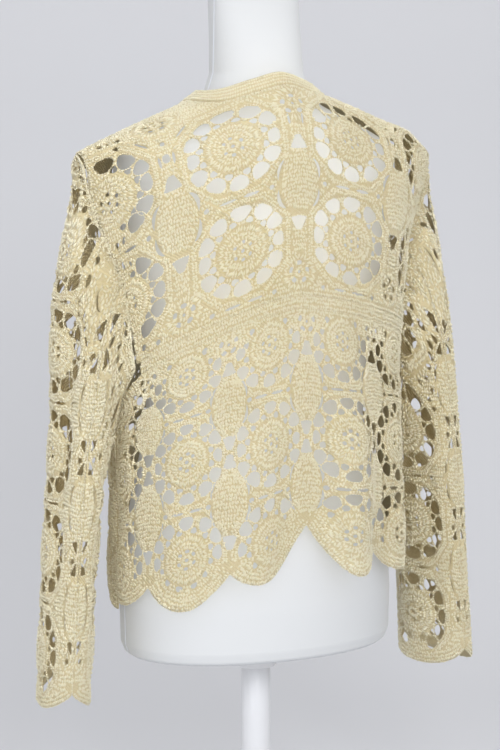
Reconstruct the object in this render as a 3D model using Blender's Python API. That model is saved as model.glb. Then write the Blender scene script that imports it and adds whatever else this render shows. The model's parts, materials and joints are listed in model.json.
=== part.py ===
"""Crochet lace cardigan, open at the front, on a limbless dress form with its stand.

The frame stands with +Z up. The origin is the middle of the base's underside, the wearer faces -Y and
the wearer's left is +X. Lengths below are millimetres until a mesh is written, which is in metres.

Each cloth piece is drawn flat, as it was crocheted, and then laid on the body's or the sleeve's surface.
On the body s runs round from the centre line, wearer's left positive, and h runs down from the yoke seam.
On a sleeve s runs round from its outer line, and h runs up from the cuff.
"""

import math

import bmesh
import bpy
import numpy as np
from mathutils import Vector, geometry

MM = 0.001
SEAM_GAP = 0.3

# Stand and dress form
BASE_RADIUS = 150.0
BASE_HEIGHT = 18.0
BASE_COLLAR = 22.0
POLE_RADIUS = 17.0
SOCKET_RADIUS = 32.0
SOCKET_HEIGHT = 26.0
FORM_BOTTOM = 260.0
NAPE = 924.0  # height of the cardigan's edge at the back of the neck

# Cardigan: motif lattice
YOKE_PITCH = 140.0
BODY_PITCH = 99.0
BODY_OFFSET = -10.0  # the body's middle leaf sits a little to the wearer's right
HALF_WIDTH = 250.0  # centre line to side seam, flat
YOKE_ROWS = (-190.0, -75.0)
BODY_ROWS = (40.0, 153.0, 262.0)
FRONT_COLUMNS = np.array([112.0, 196.0])
FRONT_ROWS = (-186.0, -74.0, 38.0, 150.0)
HEM_NOTCH = 278.0
HEM_SCALLOP = 27.0
# (s, how far the hem hangs below its own line): drawn up in the deep fold, low on the wearer's left
HEM_HANG = ((-250, 0), (-120, 0), (-60, 2), (-12, -28), (36, 0), (90, 8), (138, 15), (190, 5), (250, -8))

# Cardigan: cloth and bands
WALL = 2.4
BAND_WALL = 3.2
BAND_WIDTH = 18.0
SEAM_BAND_HALF = 7.0
SEAM_REACH = 198.0
BODY_DEPTH_BACK = 112.0
BODY_DEPTH_FRONT = 118.0
BODY_ROUNDNESS = 2.4
SHOULDER_REACH = 226.0
RIDGE_SHARE = 0.96  # x over s along the sloping shoulder
NECK_HALF_WIDTH = 65.2
NECK_BACK_DEPTH = 62.0
FRONT_EDGE = 42.0
FRONT_EDGE_DROP = 170.0
SEAM_DROP_LEFT = 70.0
SEAM_DROP_RIGHT = 42.0
SEAM_CENTRE = NAPE - 252.0
SEAM_DROP_REACH = 190.0  # the s at which the yoke seam has dropped that far
SEAM_DROP_POWER = 1.4
FRONT_DROP_SHARE = 0.62  # of the side seam's drop, at the front edges
LEAST_TURN = 22.0  # the tightest radius over the shoulder
SIDE_LIFT = 0.5  # the share of the seam's drop that the hem doesn't follow
SIDE_LIFT_REACH = 160.0
ARMHOLE_POINTS = ((230.0, 150.0), (221.5, 218.0))  # (s, drop below the nape) from the shoulder down
ARMHOLE_MIDDLE = (190.0, 205.0)  # x, drop below the nape
ARMHOLE_CORNER = 203.0  # s where the armhole meets the yoke seam
UNDERARM_POINT = 228.0  # s between that corner and the side seam
UNDERARM_DROP = 14.0
UNDERARM_GAP = 2.2  # the lower panels start that far below the armhole's lowest stretch

# Gaps of the lace
WHEEL_MESH_REACH = 40.0  # wheel's centre to the middles of its largest gaps
WHEEL_GAP = (15.0, 14.0)
WHEEL_GAP_SPREAD = math.radians(33)
LEAF_GAP_FOOT = 38.0  # leaf's centre to the wide and the narrow end of the gap beyond its tip
LEAF_GAP_TIP = 56.0
LEAF_GAP_HALF_FOOT = 9.0
LEAF_GAP_HALF_TIP = 4.0

# (x, height against the nape) along the top of the shoulders, from the wearer's right to left
RIDGE = (
    (-250, -114),
    (-215, -83),
    (-190, -65),
    (-160, -55),
    (-120, -42),
    (-65, -20),
    (-30, 6),
    (0, 19),
    (30, 6),
    (65, -22),
    (120, -48),
    (180, -73),
    (207, -84),
    (250, -108),
)
# (h, half width of the body section)
BODY_WIDTH = ((-330, 205), (-235, 203), (-160, 190), (-90, 179), (0, 173), (150, 172), (320, 173))
# (s, half width of the fold, height of the fold, h where it starts, h where it is full)
BACK_FOLDS = (
    (66, 56, 19, 20, 260),
    (-68, 46, 27, 10, 230),
    (150, 40, 9, 40, 240),
    (-166, 40, 10, 40, 260),
)
FRONT_FOLDS = (
    (84, 40, 13, -60, 240),
    (156, 40, 9, 10, 260),
    (-96, 44, 15, -40, 240),
    (-160, 40, 9, 20, 260),
)

# (height, middle from the centre line, half thickness, half depth) of a hanging sleeve
SLEEVE_SECTIONS = (
    (217, 241, 28, 54),
    (300, 236, 29, 55),
    (400, 229, 30, 56),
    (525, 219, 32, 58),
    (600, 213, 35, 57),
    (700, 202, 36, 50),
    (760, 192, 34, 40),
    (840, 180, 22, 24),
)
SLEEVE_BOTTOM = 217.0
SLEEVE_TOE = math.radians(12)
SLEEVE_TOE_TOP = 700.0
SLEEVE_TOE_FADE = 250.0
SLEEVE_SET_IN = 2.0
SLEEVE_SET_OUT = 1.4
SLEEVE_ROUND = 300.0
SLEEVE_BLEND = 95.0
SLEEVE_PITCH = 113.0
SLEEVE_WHEELS = 5
SLEEVE_FIRST_WHEEL = 62.0
SLEEVE_RISE = 0.995  # height over h, which leaves a little for the sleeve's slack
CUFF_NOTCH = 22.0
# (angle round from the outer line in degrees, half width in degrees, depth, h of the middle, half length)
SLEEVE_FOLDS = ((38, 34, -11, 330, 260), (-120, 40, -7, 240, 260), (150, 30, -6, 180, 200))

# (height above the form's bottom, half width, depth behind, depth in front)
FORM_SECTIONS = (
    (0, 156, 98, 96),
    (4, 161, 103, 100),
    (14, 165, 106, 103),
    (60, 166, 107, 104),
    (120, 163, 105, 101),
    (200, 148, 96, 92),
    (270, 131, 85, 85),
    (340, 137, 88, 97),
    (420, 153, 98, 111),
    (500, 166, 103, 108),
    (545, 171, 102, 101),
    (572, 170, 98, 93),
    (586, 160, 93, 86),
    (600, 134, 86, 76),
    (616, 99, 76, 64),
    (628, 74.8, 66, 56),
    (641, 61.8, 58, 50),
    (664, 54, 49, 49),
    (700, 53, 40, 53),
    (764, 52, 20, 68),
)
FORM_ROUNDNESS = 2.15
CAP_HEIGHT = 7.0

# (radius, height) of the turned pieces, each from its own underside
CAP_PROFILE = ((43, 0), (45, 2), (44, CAP_HEIGHT - 2), (40, CAP_HEIGHT))
SOCKET_PROFILE = ((24, 0), (24, 16), (SOCKET_RADIUS, 18), (SOCKET_RADIUS, SOCKET_HEIGHT))
BASE_PROFILE = (
    (BASE_RADIUS - 3, 0),
    (BASE_RADIUS, 3),
    (BASE_RADIUS, 8),
    (BASE_RADIUS - 6, 12),
    (34, BASE_HEIGHT),
    (27, BASE_HEIGHT + 4),
    (25, BASE_HEIGHT + BASE_COLLAR),
)

# Colours of the finished object
ECRU = (0.74, 0.64, 0.42, 1)
FORM_WHITE = (0.83, 0.83, 0.80, 1)
STAND_WHITE = (0.80, 0.80, 0.80, 1)


def smooth_step(value):
    value = np.clip(value, 0, 1)
    return value * value * (3 - 2 * value)


def smooth_table(where, rows):
    """A smooth curve through the rows of a table, read at each value of where."""
    places = np.array([row[0] for row in rows], float)
    heights = np.array([row[1] for row in rows], float)
    slopes = np.gradient(heights, places)
    where = np.clip(where, places[0], places[-1])
    i = np.clip(np.searchsorted(places, where) - 1, 0, len(places) - 2)
    step = places[i + 1] - places[i]
    f = (where - places[i]) / step
    return (
        heights[i] * (1 + 2 * f) * (1 - f) ** 2
        + heights[i + 1] * f * f * (3 - 2 * f)
        + step * slopes[i] * f * (1 - f) ** 2
        + step * slopes[i + 1] * f * f * (f - 1)
    )


def quarter_section(samples=400):
    """Arc fraction, x and y along a quarter of the body's section, whose half width and depth are 1."""
    angle = np.linspace(0, math.pi / 2, samples)
    x = np.sin(angle) ** (2 / BODY_ROUNDNESS)
    y = np.cos(angle) ** (2 / BODY_ROUNDNESS)
    width, depth = BODY_WIDTH[4][1], BODY_DEPTH_BACK
    steps = np.hypot(np.diff(x * width), np.diff(y * depth))
    arc = np.concatenate([[0], np.cumsum(steps)])
    return arc / arc[-1], x, y


ARC, ARC_X, ARC_Y = quarter_section()


def fold_height(s, h, folds):
    height = np.zeros_like(s)
    for middle, half_width, depth, start, full in folds:
        across = np.clip(1 - ((s - middle) / half_width) ** 2, 0, 1) ** 2
        height += depth * across * smooth_step((h - start) / (full - start))
    return height


def seam_height(s, front):
    """Height of the line h = 0, which drops towards the side seams, more on the wearer's left."""
    drop = np.where(s > 0, SEAM_DROP_LEFT, SEAM_DROP_RIGHT)
    behind = drop * (np.abs(s) / SEAM_DROP_REACH) ** SEAM_DROP_POWER
    side = drop * (HALF_WIDTH / SEAM_DROP_REACH) ** SEAM_DROP_POWER
    before = side * (FRONT_DROP_SHARE + (1 - FRONT_DROP_SHARE) * (np.abs(s) / HALF_WIDTH) ** 2)
    return SEAM_CENTRE - (before if front else behind)


def column(s, front):
    """Half the section's x and y factors, the ridge's height and the radius of the shoulder's turn."""
    fraction = np.abs(s) / HALF_WIDTH
    x = np.interp(fraction, ARC, ARC_X)
    y = np.interp(fraction, ARC, ARC_Y) * (BODY_DEPTH_FRONT if front else BODY_DEPTH_BACK)
    ridge = NAPE + smooth_table(s * RIDGE_SHARE, RIDGE)
    return x, y, ridge, np.maximum(y, LEAST_TURN)


def ridge_h(s, front):
    """h of the top of the shoulder, where front and back meet."""
    _, _, ridge, radius = column(s, front)
    return -(ridge - seam_height(s, front)) - (math.pi / 2 - 1) * radius


def h_at(s, z, front):
    """h of the body's surface where it is z high."""
    _, _, ridge, radius = column(s, front)
    drop = np.maximum(ridge - z, 0)
    turned = radius * np.arccos(np.clip(1 - drop / radius, -1, 1))
    down = np.where(drop < radius, turned, drop - radius + radius * math.pi / 2)
    return ridge_h(s, front) + down


def body_middle(s, h, front):
    x_factor, y_full, ridge, radius = column(s, front)
    down = np.maximum(h - ridge_h(s, front), 0)
    turn = np.minimum(down / radius, math.pi / 2)
    width = smooth_table(h, BODY_WIDTH)
    full = np.sin(np.minimum(down / BODY_DEPTH_BACK, math.pi / 2))
    x = np.abs(s) * RIDGE_SHARE * (1 - full) + width * x_factor * full
    y = y_full * np.sin(turn)
    z = ridge - radius * (1 - np.cos(turn)) - np.maximum(down - radius * math.pi / 2, 0)
    z += (SEAM_CENTRE - seam_height(s, front)) * SIDE_LIFT * smooth_step(h / SIDE_LIFT_REACH)
    side = x / width**2
    back = y / BODY_DEPTH_BACK**2
    length = np.maximum(np.hypot(side, back), 1e-9)
    fold = fold_height(s, h, FRONT_FOLDS if front else BACK_FOLDS)
    x = (x + fold * side / length) * np.sign(s + 1e-9)
    y = (y + fold * back / length) * (-1 if front else 1)
    return np.stack([x, y, z], axis=-1)


def back_surface(points):
    return body_middle(points[:, 0], points[:, 1], False)


def front_surface(points):
    return body_middle(points[:, 0], points[:, 1], True)


def normals_of(surface, points, step=0.5):
    """Unit normals of a surface at flat points, by small steps along s and h."""
    along_s = surface(points + (step, 0)) - surface(points - (step, 0))
    along_h = surface(points + (0, step)) - surface(points - (0, step))
    normal = np.cross(along_s, along_h)
    return normal / np.maximum(np.linalg.norm(normal, axis=1, keepdims=True), 1e-9)


def through(points, spacing):
    """Points about that far apart on a smooth line through a few points."""
    points = np.array(points, float)
    ends = np.vstack([2 * points[0] - points[1], points, 2 * points[-1] - points[-2]])
    line = []
    for i in range(1, len(ends) - 2):
        a, b, c, d = ends[i - 1 : i + 3]
        count = max(1, round(np.linalg.norm(c - b) / spacing))
        for f in np.arange(count) / count:
            bend = (2 * a - 5 * b + 4 * c - d) * f**2 + (3 * b - a - 3 * c + d) * f**3
            line.append(0.5 * (2 * b + (c - a) * f + bend))
    line.append(points[-1])
    return np.array(line)


def straight(start, end, spacing):
    count = max(1, round(math.dist(start, end) / spacing))
    return np.linspace(start, end, count + 1)


def joined(*lines):
    """One closed outline from lines that meet end to end."""
    outline = np.vstack(lines)
    keep = np.linalg.norm(outline - np.roll(outline, 1, axis=0), axis=1) > 0.05
    return outline[keep]


def inside(points, outline):
    """Which points lie within a closed outline."""
    x, y = points[:, 0, None], points[:, 1, None]
    x0, y0 = outline[:, 0], outline[:, 1]
    x1, y1 = np.roll(x0, -1), np.roll(y0, -1)
    crosses = (y0 > y) != (y1 > y)
    rise = np.where(y1 == y0, 1e-9, y1 - y0)
    return (crosses & (x < (x1 - x0) * (y - y0) / rise + x0)).sum(axis=1) % 2 == 1


def distance_to(points, outline):
    """Distance from each point to the nearest side of a closed outline."""
    a = outline
    run = np.roll(outline, -1, axis=0) - a
    offset = points[:, None] - a
    f = np.clip((offset * run).sum(-1) / np.maximum((run**2).sum(-1), 1e-9), 0, 1)
    return np.linalg.norm(offset - run * f[..., None], axis=-1).min(axis=1)


# Lace: the gaps that are cut through


def rounded_gap(middle, width, height, turn=0.0, sides=6):
    angles = np.arange(sides) * 2 * math.pi / sides + math.pi / sides
    x, y = np.cos(angles) * width / 2, np.sin(angles) * height / 2
    return np.array(middle) + np.stack(
        [x * math.cos(turn) - y * math.sin(turn), x * math.sin(turn) + y * math.cos(turn)], axis=-1
    )


def wheel_gaps(middle, wide=1.0, each_side=3):
    """The largest gaps of a wheel: those of its mesh above and below the disc."""
    gaps = []
    width, height = WHEEL_GAP
    for up in (-1, 1):
        for place in range(each_side):
            angle = (place - (each_side - 1) / 2) * WHEEL_GAP_SPREAD
            across = math.sin(angle) * WHEEL_MESH_REACH * wide
            along = up * math.cos(angle) * WHEEL_MESH_REACH
            place = (middle[0] + across, middle[1] + along)
            gaps.append(rounded_gap(place, width * wide, height, -up * angle))
    return gaps


def leaf_gaps(middle, wide=1.0):
    """The three-cornered gaps above and below a leaf."""
    gaps = []
    for up in (-1, 1):
        tip = middle[1] + up * LEAF_GAP_TIP
        foot = middle[1] + up * LEAF_GAP_FOOT
        half_foot = LEAF_GAP_HALF_FOOT * wide
        wide_end = ((-half_foot, foot), (half_foot, foot))
        corners = wide_end + ((LEAF_GAP_HALF_TIP, tip), (-LEAF_GAP_HALF_TIP, tip))
        gaps.append(np.array([(middle[0] + across, along) for across, along in corners]))
    return gaps


def cut_gaps(gaps, outline, margin=5.0):
    """The gaps that lie whole within the outline, clear of its edge."""
    kept = []
    for gap in gaps:
        if inside(gap, outline).all() and distance_to(gap, outline).min() > margin:
            kept.append(gap)
    return kept


# Solids


def new_material(name, colour, roughness):
    material = bpy.data.materials.new(name)
    material.use_nodes = True
    shader = material.node_tree.nodes["Principled BSDF"]
    shader.inputs["Base Color"].default_value = colour
    shader.inputs["Roughness"].default_value = roughness
    shader.inputs["Metallic"].default_value = 0
    material.diffuse_color = colour
    return material


def new_object(name, points, faces, material):
    mesh = bpy.data.meshes.new(name)
    mesh.from_pydata([tuple(p * MM) for p in points], [], faces)
    mesh.validate()
    mesh.shade_smooth()
    mesh.set_sharp_from_angle(angle=math.radians(40))
    made = bpy.data.objects.new(name, mesh)
    made.data.materials.append(material)
    bpy.context.scene.collection.objects.link(made)
    return made


def triangulate(outline, gaps, spacing):
    """Flat points and triangles of an outline with its gaps left out."""
    loops = [outline] + gaps
    points = np.vstack(loops)
    edges, start = [], 0
    for loop in loops:
        edges += [(start + i, start + (i + 1) % len(loop)) for i in range(len(loop))]
        start += len(loop)
    low, high = outline.min(axis=0), outline.max(axis=0)
    columns = np.arange(low[0] + spacing / 2, high[0], spacing)
    rows = np.arange(low[1] + spacing / 2, high[1], spacing)
    grid = np.stack(np.meshgrid(columns, rows), axis=-1).reshape(-1, 2)
    grid = grid[inside(grid, outline)]
    grid = grid[distance_to(grid, outline) > spacing * 0.4]
    for gap in gaps:
        grid = grid[~inside(grid, gap) & (distance_to(grid, gap) > spacing * 0.3)]
    flat = np.vstack([points, grid])
    found = geometry.delaunay_2d_cdt([Vector(p) for p in flat], edges, [], 1, 1e-4)
    flat, triangles = np.array(found[0]), np.array(found[2])
    middles = flat[triangles].mean(axis=1)
    keep = np.ones(len(triangles), bool)
    for gap in gaps:
        keep &= ~inside(middles, gap)
    return flat, triangles[keep]


def cloth(name, outline, gaps, surface, material, wall=WALL, spacing=30.0):
    """A closed wall laid on a surface, from a flat outline and the gaps cut through it."""
    flat, triangles = triangulate(outline, gaps, spacing)
    used = np.unique(triangles)
    renumber = np.full(len(flat), -1)
    renumber[used] = np.arange(len(used))
    flat, triangles = flat[used], renumber[triangles]
    middle = surface(flat)
    normal = normals_of(surface, flat)
    points = np.vstack([middle + normal * wall / 2, middle - normal * wall / 2])
    count = len(flat)
    faces = [tuple(t) for t in triangles] + [tuple(t[::-1] + count) for t in triangles]
    sides = {(t[i], t[(i + 1) % 3]) for t in triangles for i in range(3)}
    for a, b in sorted(sides):
        if (b, a) not in sides:
            faces += [(b, a, a + count), (b, a + count, b + count)]
    return new_object(name, points, [tuple(int(i) for i in face) for face in faces], material)


# Cardigan


def neck_line(offset, steps):
    """The back neckline from the wearer's left shoulder to the right, that far outside its free edge."""
    angles = np.linspace(math.pi / 2, -math.pi / 2, steps + 1)
    s = (NECK_HALF_WIDTH + offset) * np.sin(angles)
    depth = (NECK_BACK_DEPTH + offset * 0.9) * np.cos(angles)
    radius = column(s, False)[3]
    down = radius * np.arcsin(np.clip(depth / radius, 0, 1))
    return np.stack([s, ridge_h(s, False) + down + SEAM_GAP / 2], axis=-1)


def front_line(offset, side, steps=15):
    """A front edge from the shoulder to the hem, that far outside its free edge."""
    top = NECK_HALF_WIDTH + offset
    low = FRONT_EDGE + offset
    start = float(ridge_h(np.array([top * side]), True)[0]) + SEAM_GAP / 2
    fractions = np.linspace(0, 1, 8)
    s = top + (low - top) * np.sin(fractions * math.pi / 2)
    h = start + FRONT_EDGE_DROP * fractions
    upper = np.stack([s * side, h], axis=-1)
    lower = np.linspace((low * side, h[-1]), (low * side, HEM_NOTCH - 4), steps)
    return np.vstack([upper, lower[1:]])


def armhole(side, front, spacing=21.0):
    """The armhole's edge from the shoulder to the yoke seam, and from there to the side seam."""
    corner = ARMHOLE_CORNER
    tip = float(ridge_h(np.array([SHOULDER_REACH * side]), front)[0]) + SEAM_GAP / 2
    low = float(seam_height(np.array([corner * side]), False)[0])
    under = float(seam_height(np.array([HALF_WIDTH * side]), False)[0]) - UNDERARM_DROP
    places = [(s, NAPE - drop) for s, drop in ARMHOLE_POINTS] + [(corner, low)]
    edge = [(SHOULDER_REACH * side, tip)]
    for s, z in places:
        edge.append((s * side, float(h_at(np.array([s * side]), z, front)[0])))
    end = (HALF_WIDTH * side, float(h_at(np.array([HALF_WIDTH * side]), under, front)[0]))
    bend = (UNDERARM_POINT * side, (edge[-1][1] + end[1]) / 2 + 5)
    return through(edge, spacing), through([edge[-1], bend, end], spacing)


def hem_line(start, end, front, spacing=12.0):
    """The scalloped hem from one s to another: a scallop below each wheel and a notch below each leaf."""
    count = max(2, round(abs(end - start) / spacing))
    s = np.linspace(start, end, count + 1)
    scallop = np.abs(np.sin((s - BODY_OFFSET) / BODY_PITCH * math.pi)) ** 0.7
    hang = 0 if front else smooth_table(s, HEM_HANG)
    return np.stack([s, HEM_NOTCH + hang + HEM_SCALLOP * scallop], axis=-1)


def lattice_gaps(wheels, leaves, wide=1.0, each_side=3):
    """The gaps of all wheels and leaves, each given by a list of columns and a list of rows."""
    gaps = []
    for column_s in wheels[0]:
        for row in wheels[1]:
            gaps += wheel_gaps((column_s, row), wide, each_side)
    for column_s in leaves[0]:
        for row in leaves[1]:
            gaps += leaf_gaps((column_s, row), wide)
    return gaps


def columns_from(pitch, offset, places):
    return [offset + pitch * place for place in places]


def moved(line, by):
    return line + np.array(by)


def seam_line(h):
    """A line along the yoke seam from right to left, whose stations all the pieces that meet there share."""
    s = np.linspace(-SEAM_REACH, SEAM_REACH, 19)
    return np.stack([s, np.full_like(s, h)], axis=-1)


def back_yoke(material):
    left, _ = armhole(1, False)
    right, _ = armhole(-1, False)
    bottom = -SEAM_BAND_HALF - SEAM_GAP
    left = left[left[:, 1] < bottom - 4]
    right = right[right[:, 1] < bottom - 4]
    neck = neck_line(BAND_WIDTH + SEAM_GAP, 16)
    shoulder = np.linspace(SHOULDER_REACH, NECK_HALF_WIDTH + BAND_WIDTH + SEAM_GAP, 7)
    ridge = np.stack([shoulder, ridge_h(shoulder, False) + SEAM_GAP / 2], axis=-1)
    mirrored = ridge[::-1] * (-1, 1)
    mirrored[:, 1] = ridge_h(mirrored[:, 0], False) + SEAM_GAP / 2
    corner = ARMHOLE_CORNER + SEAM_GAP * 5
    seam = np.vstack([(-corner, bottom), seam_line(bottom), (corner, bottom)])
    outline = joined(seam, left[::-1], ridge, neck, mirrored, right)
    wheels = columns_from(YOKE_PITCH, 0, (-1.5, -0.5, 0.5, 1.5)), YOKE_ROWS
    leaves = columns_from(YOKE_PITCH, 0, (-1, 0, 1)), [sum(YOKE_ROWS) / 2]
    gaps = cut_gaps(lattice_gaps(wheels, leaves, wide=1.1), outline)
    return cloth("back_yoke", outline, gaps, back_surface, material), gaps


def back_body(material):
    _, left = armhole(1, False)
    _, right = armhole(-1, False)
    top = SEAM_BAND_HALF + SEAM_GAP
    side = HALF_WIDTH - SEAM_GAP / 2
    left, right = moved(left, (0, UNDERARM_GAP)), moved(right, (0, UNDERARM_GAP))
    left = left[left[:, 1] > top + 2]
    right = right[right[:, 1] > top + 2]
    left[-1, 0], right[-1, 0] = side, -side
    hem = hem_line(-side, side, False)
    seam = seam_line(top)
    outline = joined(
        seam,
        left,
        straight(left[-1], hem[-1], 25.0),
        hem[::-1],
        straight(hem[0], right[-1], 25.0),
        right[::-1],
    )
    wheels = columns_from(BODY_PITCH, BODY_OFFSET, (-1.5, -0.5, 0.5, 1.5)), BODY_ROWS
    between = [(upper + lower) / 2 for upper, lower in zip(BODY_ROWS, BODY_ROWS[1:])]
    leaves = columns_from(BODY_PITCH, BODY_OFFSET, (-1, 0, 1, 2)), between
    gaps = cut_gaps(lattice_gaps(wheels, leaves, wide=0.9), outline)
    return cloth("back_body", outline, gaps, back_surface, material), gaps


def yoke_band(material):
    outline = joined(seam_line(-SEAM_BAND_HALF), seam_line(SEAM_BAND_HALF)[::-1])
    return cloth("yoke_seam_band", outline, [], back_surface, material, wall=BAND_WALL), []


def front(name, side, material):
    upper, under = armhole(side, True)
    under = moved(under, (0, UNDERARM_GAP))
    edge = front_line(BAND_WIDTH + SEAM_GAP, side)
    shoulder = np.linspace(NECK_HALF_WIDTH + BAND_WIDTH + SEAM_GAP, SHOULDER_REACH, 7) * side
    ridge = np.stack([shoulder, ridge_h(shoulder, True) + SEAM_GAP / 2], axis=-1)
    last = (HALF_WIDTH - SEAM_GAP / 2) * side
    under[-1, 0] = last
    hem = hem_line(last, edge[-1, 0], True)
    outline = joined(
        ridge,
        upper,
        under[1:],
        straight(under[-1], hem[0], 25.0),
        hem,
        straight(hem[-1], edge[-1], 25.0),
        edge[::-1],
    )
    gaps = cut_gaps(lattice_gaps((FRONT_COLUMNS * side, FRONT_ROWS), ([], [])), outline)
    return cloth(name, outline, gaps, front_surface, material), gaps


def neckband(material):
    """The band round the neck and down both fronts: one strip with a free and a sewn edge."""
    stations = []
    for side in (1, -1):
        free, sewn = front_line(0, side), front_line(BAND_WIDTH, side)
        flat = [(np.array(a), np.array(b), front_surface) for a, b in zip(free, sewn)]
        stations.append(flat)
    free, sewn = neck_line(0, 16), neck_line(BAND_WIDTH, 16)
    behind = [(a, b, back_surface) for a, b in zip(free, sewn)][1:-1]
    track = stations[0][::-1] + behind + stations[1]
    rows = []
    for a, b, surface in track:
        flat = np.array([a, b])
        middle = surface(flat)
        normal = normals_of(surface, flat)
        outward = normal if surface is back_surface else -normal
        half = BAND_WALL / 2
        rows.append([middle[0] + outward[0] * half, middle[1] + outward[1] * half])
        rows[-1] += [middle[1] - outward[1] * half, middle[0] - outward[0] * half]
    return strip("neckband", rows, material), []


def strip(name, rows, material):
    """A closed solid through rows of four corners."""
    points = np.array(rows).reshape(-1, 3)
    faces = [(0, 1, 2, 3)]
    for i in range(len(rows) - 1):
        for k in range(4):
            a, b = 4 * i + k, 4 * i + (k + 1) % 4
            faces.append((a, a + 4, b + 4, b))
    last = 4 * (len(rows) - 1)
    faces.append((last + 3, last + 2, last + 1, last))
    made = new_object(name, points, faces, material)
    face_out(made)
    return made


def face_out(made):
    """Turns a closed mesh's faces outwards and splits them into triangles."""
    work = bmesh.new()
    work.from_mesh(made.data)
    bmesh.ops.recalc_face_normals(work, faces=work.faces)
    bmesh.ops.triangulate(work, faces=work.faces)
    work.to_mesh(made.data)
    work.free()


# Sleeves


def armhole_loop(side):
    """Angle and place of the sleeve's stations round the armhole, clear of the body's edge."""
    middle = np.array([ARMHOLE_MIDDLE[0] * side, 0, NAPE - ARMHOLE_MIDDLE[1]])
    halves = []
    for is_front in (False, True):
        upper, under = armhole(side, is_front)
        flat = np.vstack([upper, under[1:]])
        surface = front_surface if is_front else back_surface
        places = surface(flat)
        outward = normals_of(surface, flat) * (-1 if is_front else 1)
        into = np.cross(outward, np.gradient(places, axis=0))
        into *= np.sign((into * (middle - places)).sum(axis=1, keepdims=True))
        into /= np.linalg.norm(into, axis=1, keepdims=True)
        halves.append(places + into * SLEEVE_SET_IN + outward * SLEEVE_SET_OUT)
    behind, before = halves
    for end in (0, -1):
        behind[end] = before[end] = (behind[end] + before[end]) / 2
    forward, backward = np.linspace(0, math.pi, len(behind)), np.linspace(0, math.pi, len(before))
    return np.concatenate([-backward[:0:-1], forward]), np.vstack([before[:0:-1], behind])


def sleeve_surface(side):
    loop_angles, loop_places = armhole_loop(side)

    def surface(points):
        angle = points[:, 0] / SLEEVE_ROUND * 2 * math.pi
        rise = points[:, 1]
        z = SLEEVE_BOTTOM + rise * SLEEVE_RISE
        middle = smooth_table(z, [(row[0], row[1]) for row in SLEEVE_SECTIONS])
        thick = smooth_table(z, [(row[0], row[2]) for row in SLEEVE_SECTIONS])
        deep = smooth_table(z, [(row[0], row[3]) for row in SLEEVE_SECTIONS])
        fold = np.zeros_like(angle)
        for place, half, depth, height, length in SLEEVE_FOLDS:
            turn = np.angle(np.exp(1j * (angle - math.radians(place)))) / math.radians(half)
            along = (rise - height) / length
            fold += depth * np.clip(1 - turn**2, 0, 1) ** 2 * np.clip(1 - along**2, 0, 1)
        across, out = np.cos(angle), np.sin(angle)
        across = np.sign(across) * np.abs(across) ** 0.85 * (thick + fold)
        out = np.sign(out) * np.abs(out) ** 0.9 * (deep + fold * 0.6)
        toe = SLEEVE_TOE * smooth_step((SLEEVE_TOE_TOP - z) / SLEEVE_TOE_FADE)
        x = middle + across * np.cos(toe) + out * np.sin(toe)
        y = out * np.cos(toe) - across * np.sin(toe)
        ring = np.stack([x * side, y, z], axis=-1)
        hold = [np.interp(angle, loop_angles, loop_places[:, k]) for k in range(3)]
        hold = np.stack(hold, axis=-1)
        top = (hold[:, 2] - SLEEVE_BOTTOM) / SLEEVE_RISE
        free = smooth_step((top - rise) / SLEEVE_BLEND)[:, None]
        return hold * (1 - free) + ring * free

    return surface


def sleeve_half(name, side, outer, material):
    """Half of a sleeve: the outer half lies round its outer line, the inner half round the underarm."""
    angles, places = armhole_loop(side)
    if not outer:
        angles = np.where(angles < 0, angles + 2 * math.pi, angles)
        order = np.argsort(angles)
        angles, places = angles[order], places[order]
    round_s = angles / (2 * math.pi) * SLEEVE_ROUND
    top = (places[:, 2] - SLEEVE_BOTTOM) / SLEEVE_RISE
    quarter = SLEEVE_ROUND / 4
    middle = 0.0 if outer else SLEEVE_ROUND / 2
    gap = SEAM_GAP
    low, high = middle - quarter + gap, middle + quarter - gap
    within = (round_s > low + 3) & (round_s < high - 3)
    edge = np.stack([round_s[within], top[within]], axis=-1)
    edge = np.vstack(
        [(low, np.interp(low, round_s, top)), edge, (high, np.interp(high, round_s, top))]
    )
    s = np.linspace(low, high, 15)
    scallop = np.abs(np.cos((s - middle) / SLEEVE_ROUND * 2 * math.pi)) ** 0.7
    cuff = np.stack([s, CUFF_NOTCH * (1 - scallop)], axis=-1)
    outline = joined(
        cuff,
        straight(cuff[-1], edge[-1], 24.0)[1:-1],
        edge[::-1],
        straight(edge[0], cuff[0], 24.0)[1:-1],
    )
    gaps = []
    for row in range(SLEEVE_WHEELS):
        gaps += wheel_gaps((middle, SLEEVE_FIRST_WHEEL + row * SLEEVE_PITCH), wide=0.95)
    gaps = cut_gaps(gaps, outline)
    surface = sleeve_surface(side)

    def wrapped(points):
        turned = points.copy()
        turned[:, 0] = (points[:, 0] + SLEEVE_ROUND / 2) % SLEEVE_ROUND - SLEEVE_ROUND / 2
        return surface(turned)

    return cloth(name, outline, gaps, wrapped, material), gaps


# Dress form and stand


def lofted(name, rings, material):
    """A closed solid through rings of points, bottom to top."""
    sides = len(rings[0])
    points = np.vstack(rings)
    faces = [tuple(range(sides))[::-1], tuple(range((len(rings) - 1) * sides, len(rings) * sides))]
    for level in range(len(rings) - 1):
        a, b = level * sides, (level + 1) * sides
        for i in range(sides):
            j = (i + 1) % sides
            faces.append((a + i, a + j, b + j, b + i))
    made = new_object(name, points, faces, material)
    face_out(made)
    return made


def form_torso(material, sides=48):
    rings = []
    angles = np.arange(sides) / sides * 2 * math.pi
    c, s = np.cos(angles), np.sin(angles)
    power = 2 / FORM_ROUNDNESS
    for height, half_width, behind, before in FORM_SECTIONS:
        x = np.sign(c) * np.abs(c) ** power * half_width
        y = np.sign(s) * np.abs(s) ** power * np.where(s > 0, behind, before)
        rings.append(np.stack([x, y, np.full(sides, FORM_BOTTOM + height)], axis=-1))
    return lofted("form_torso", rings, material)


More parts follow.
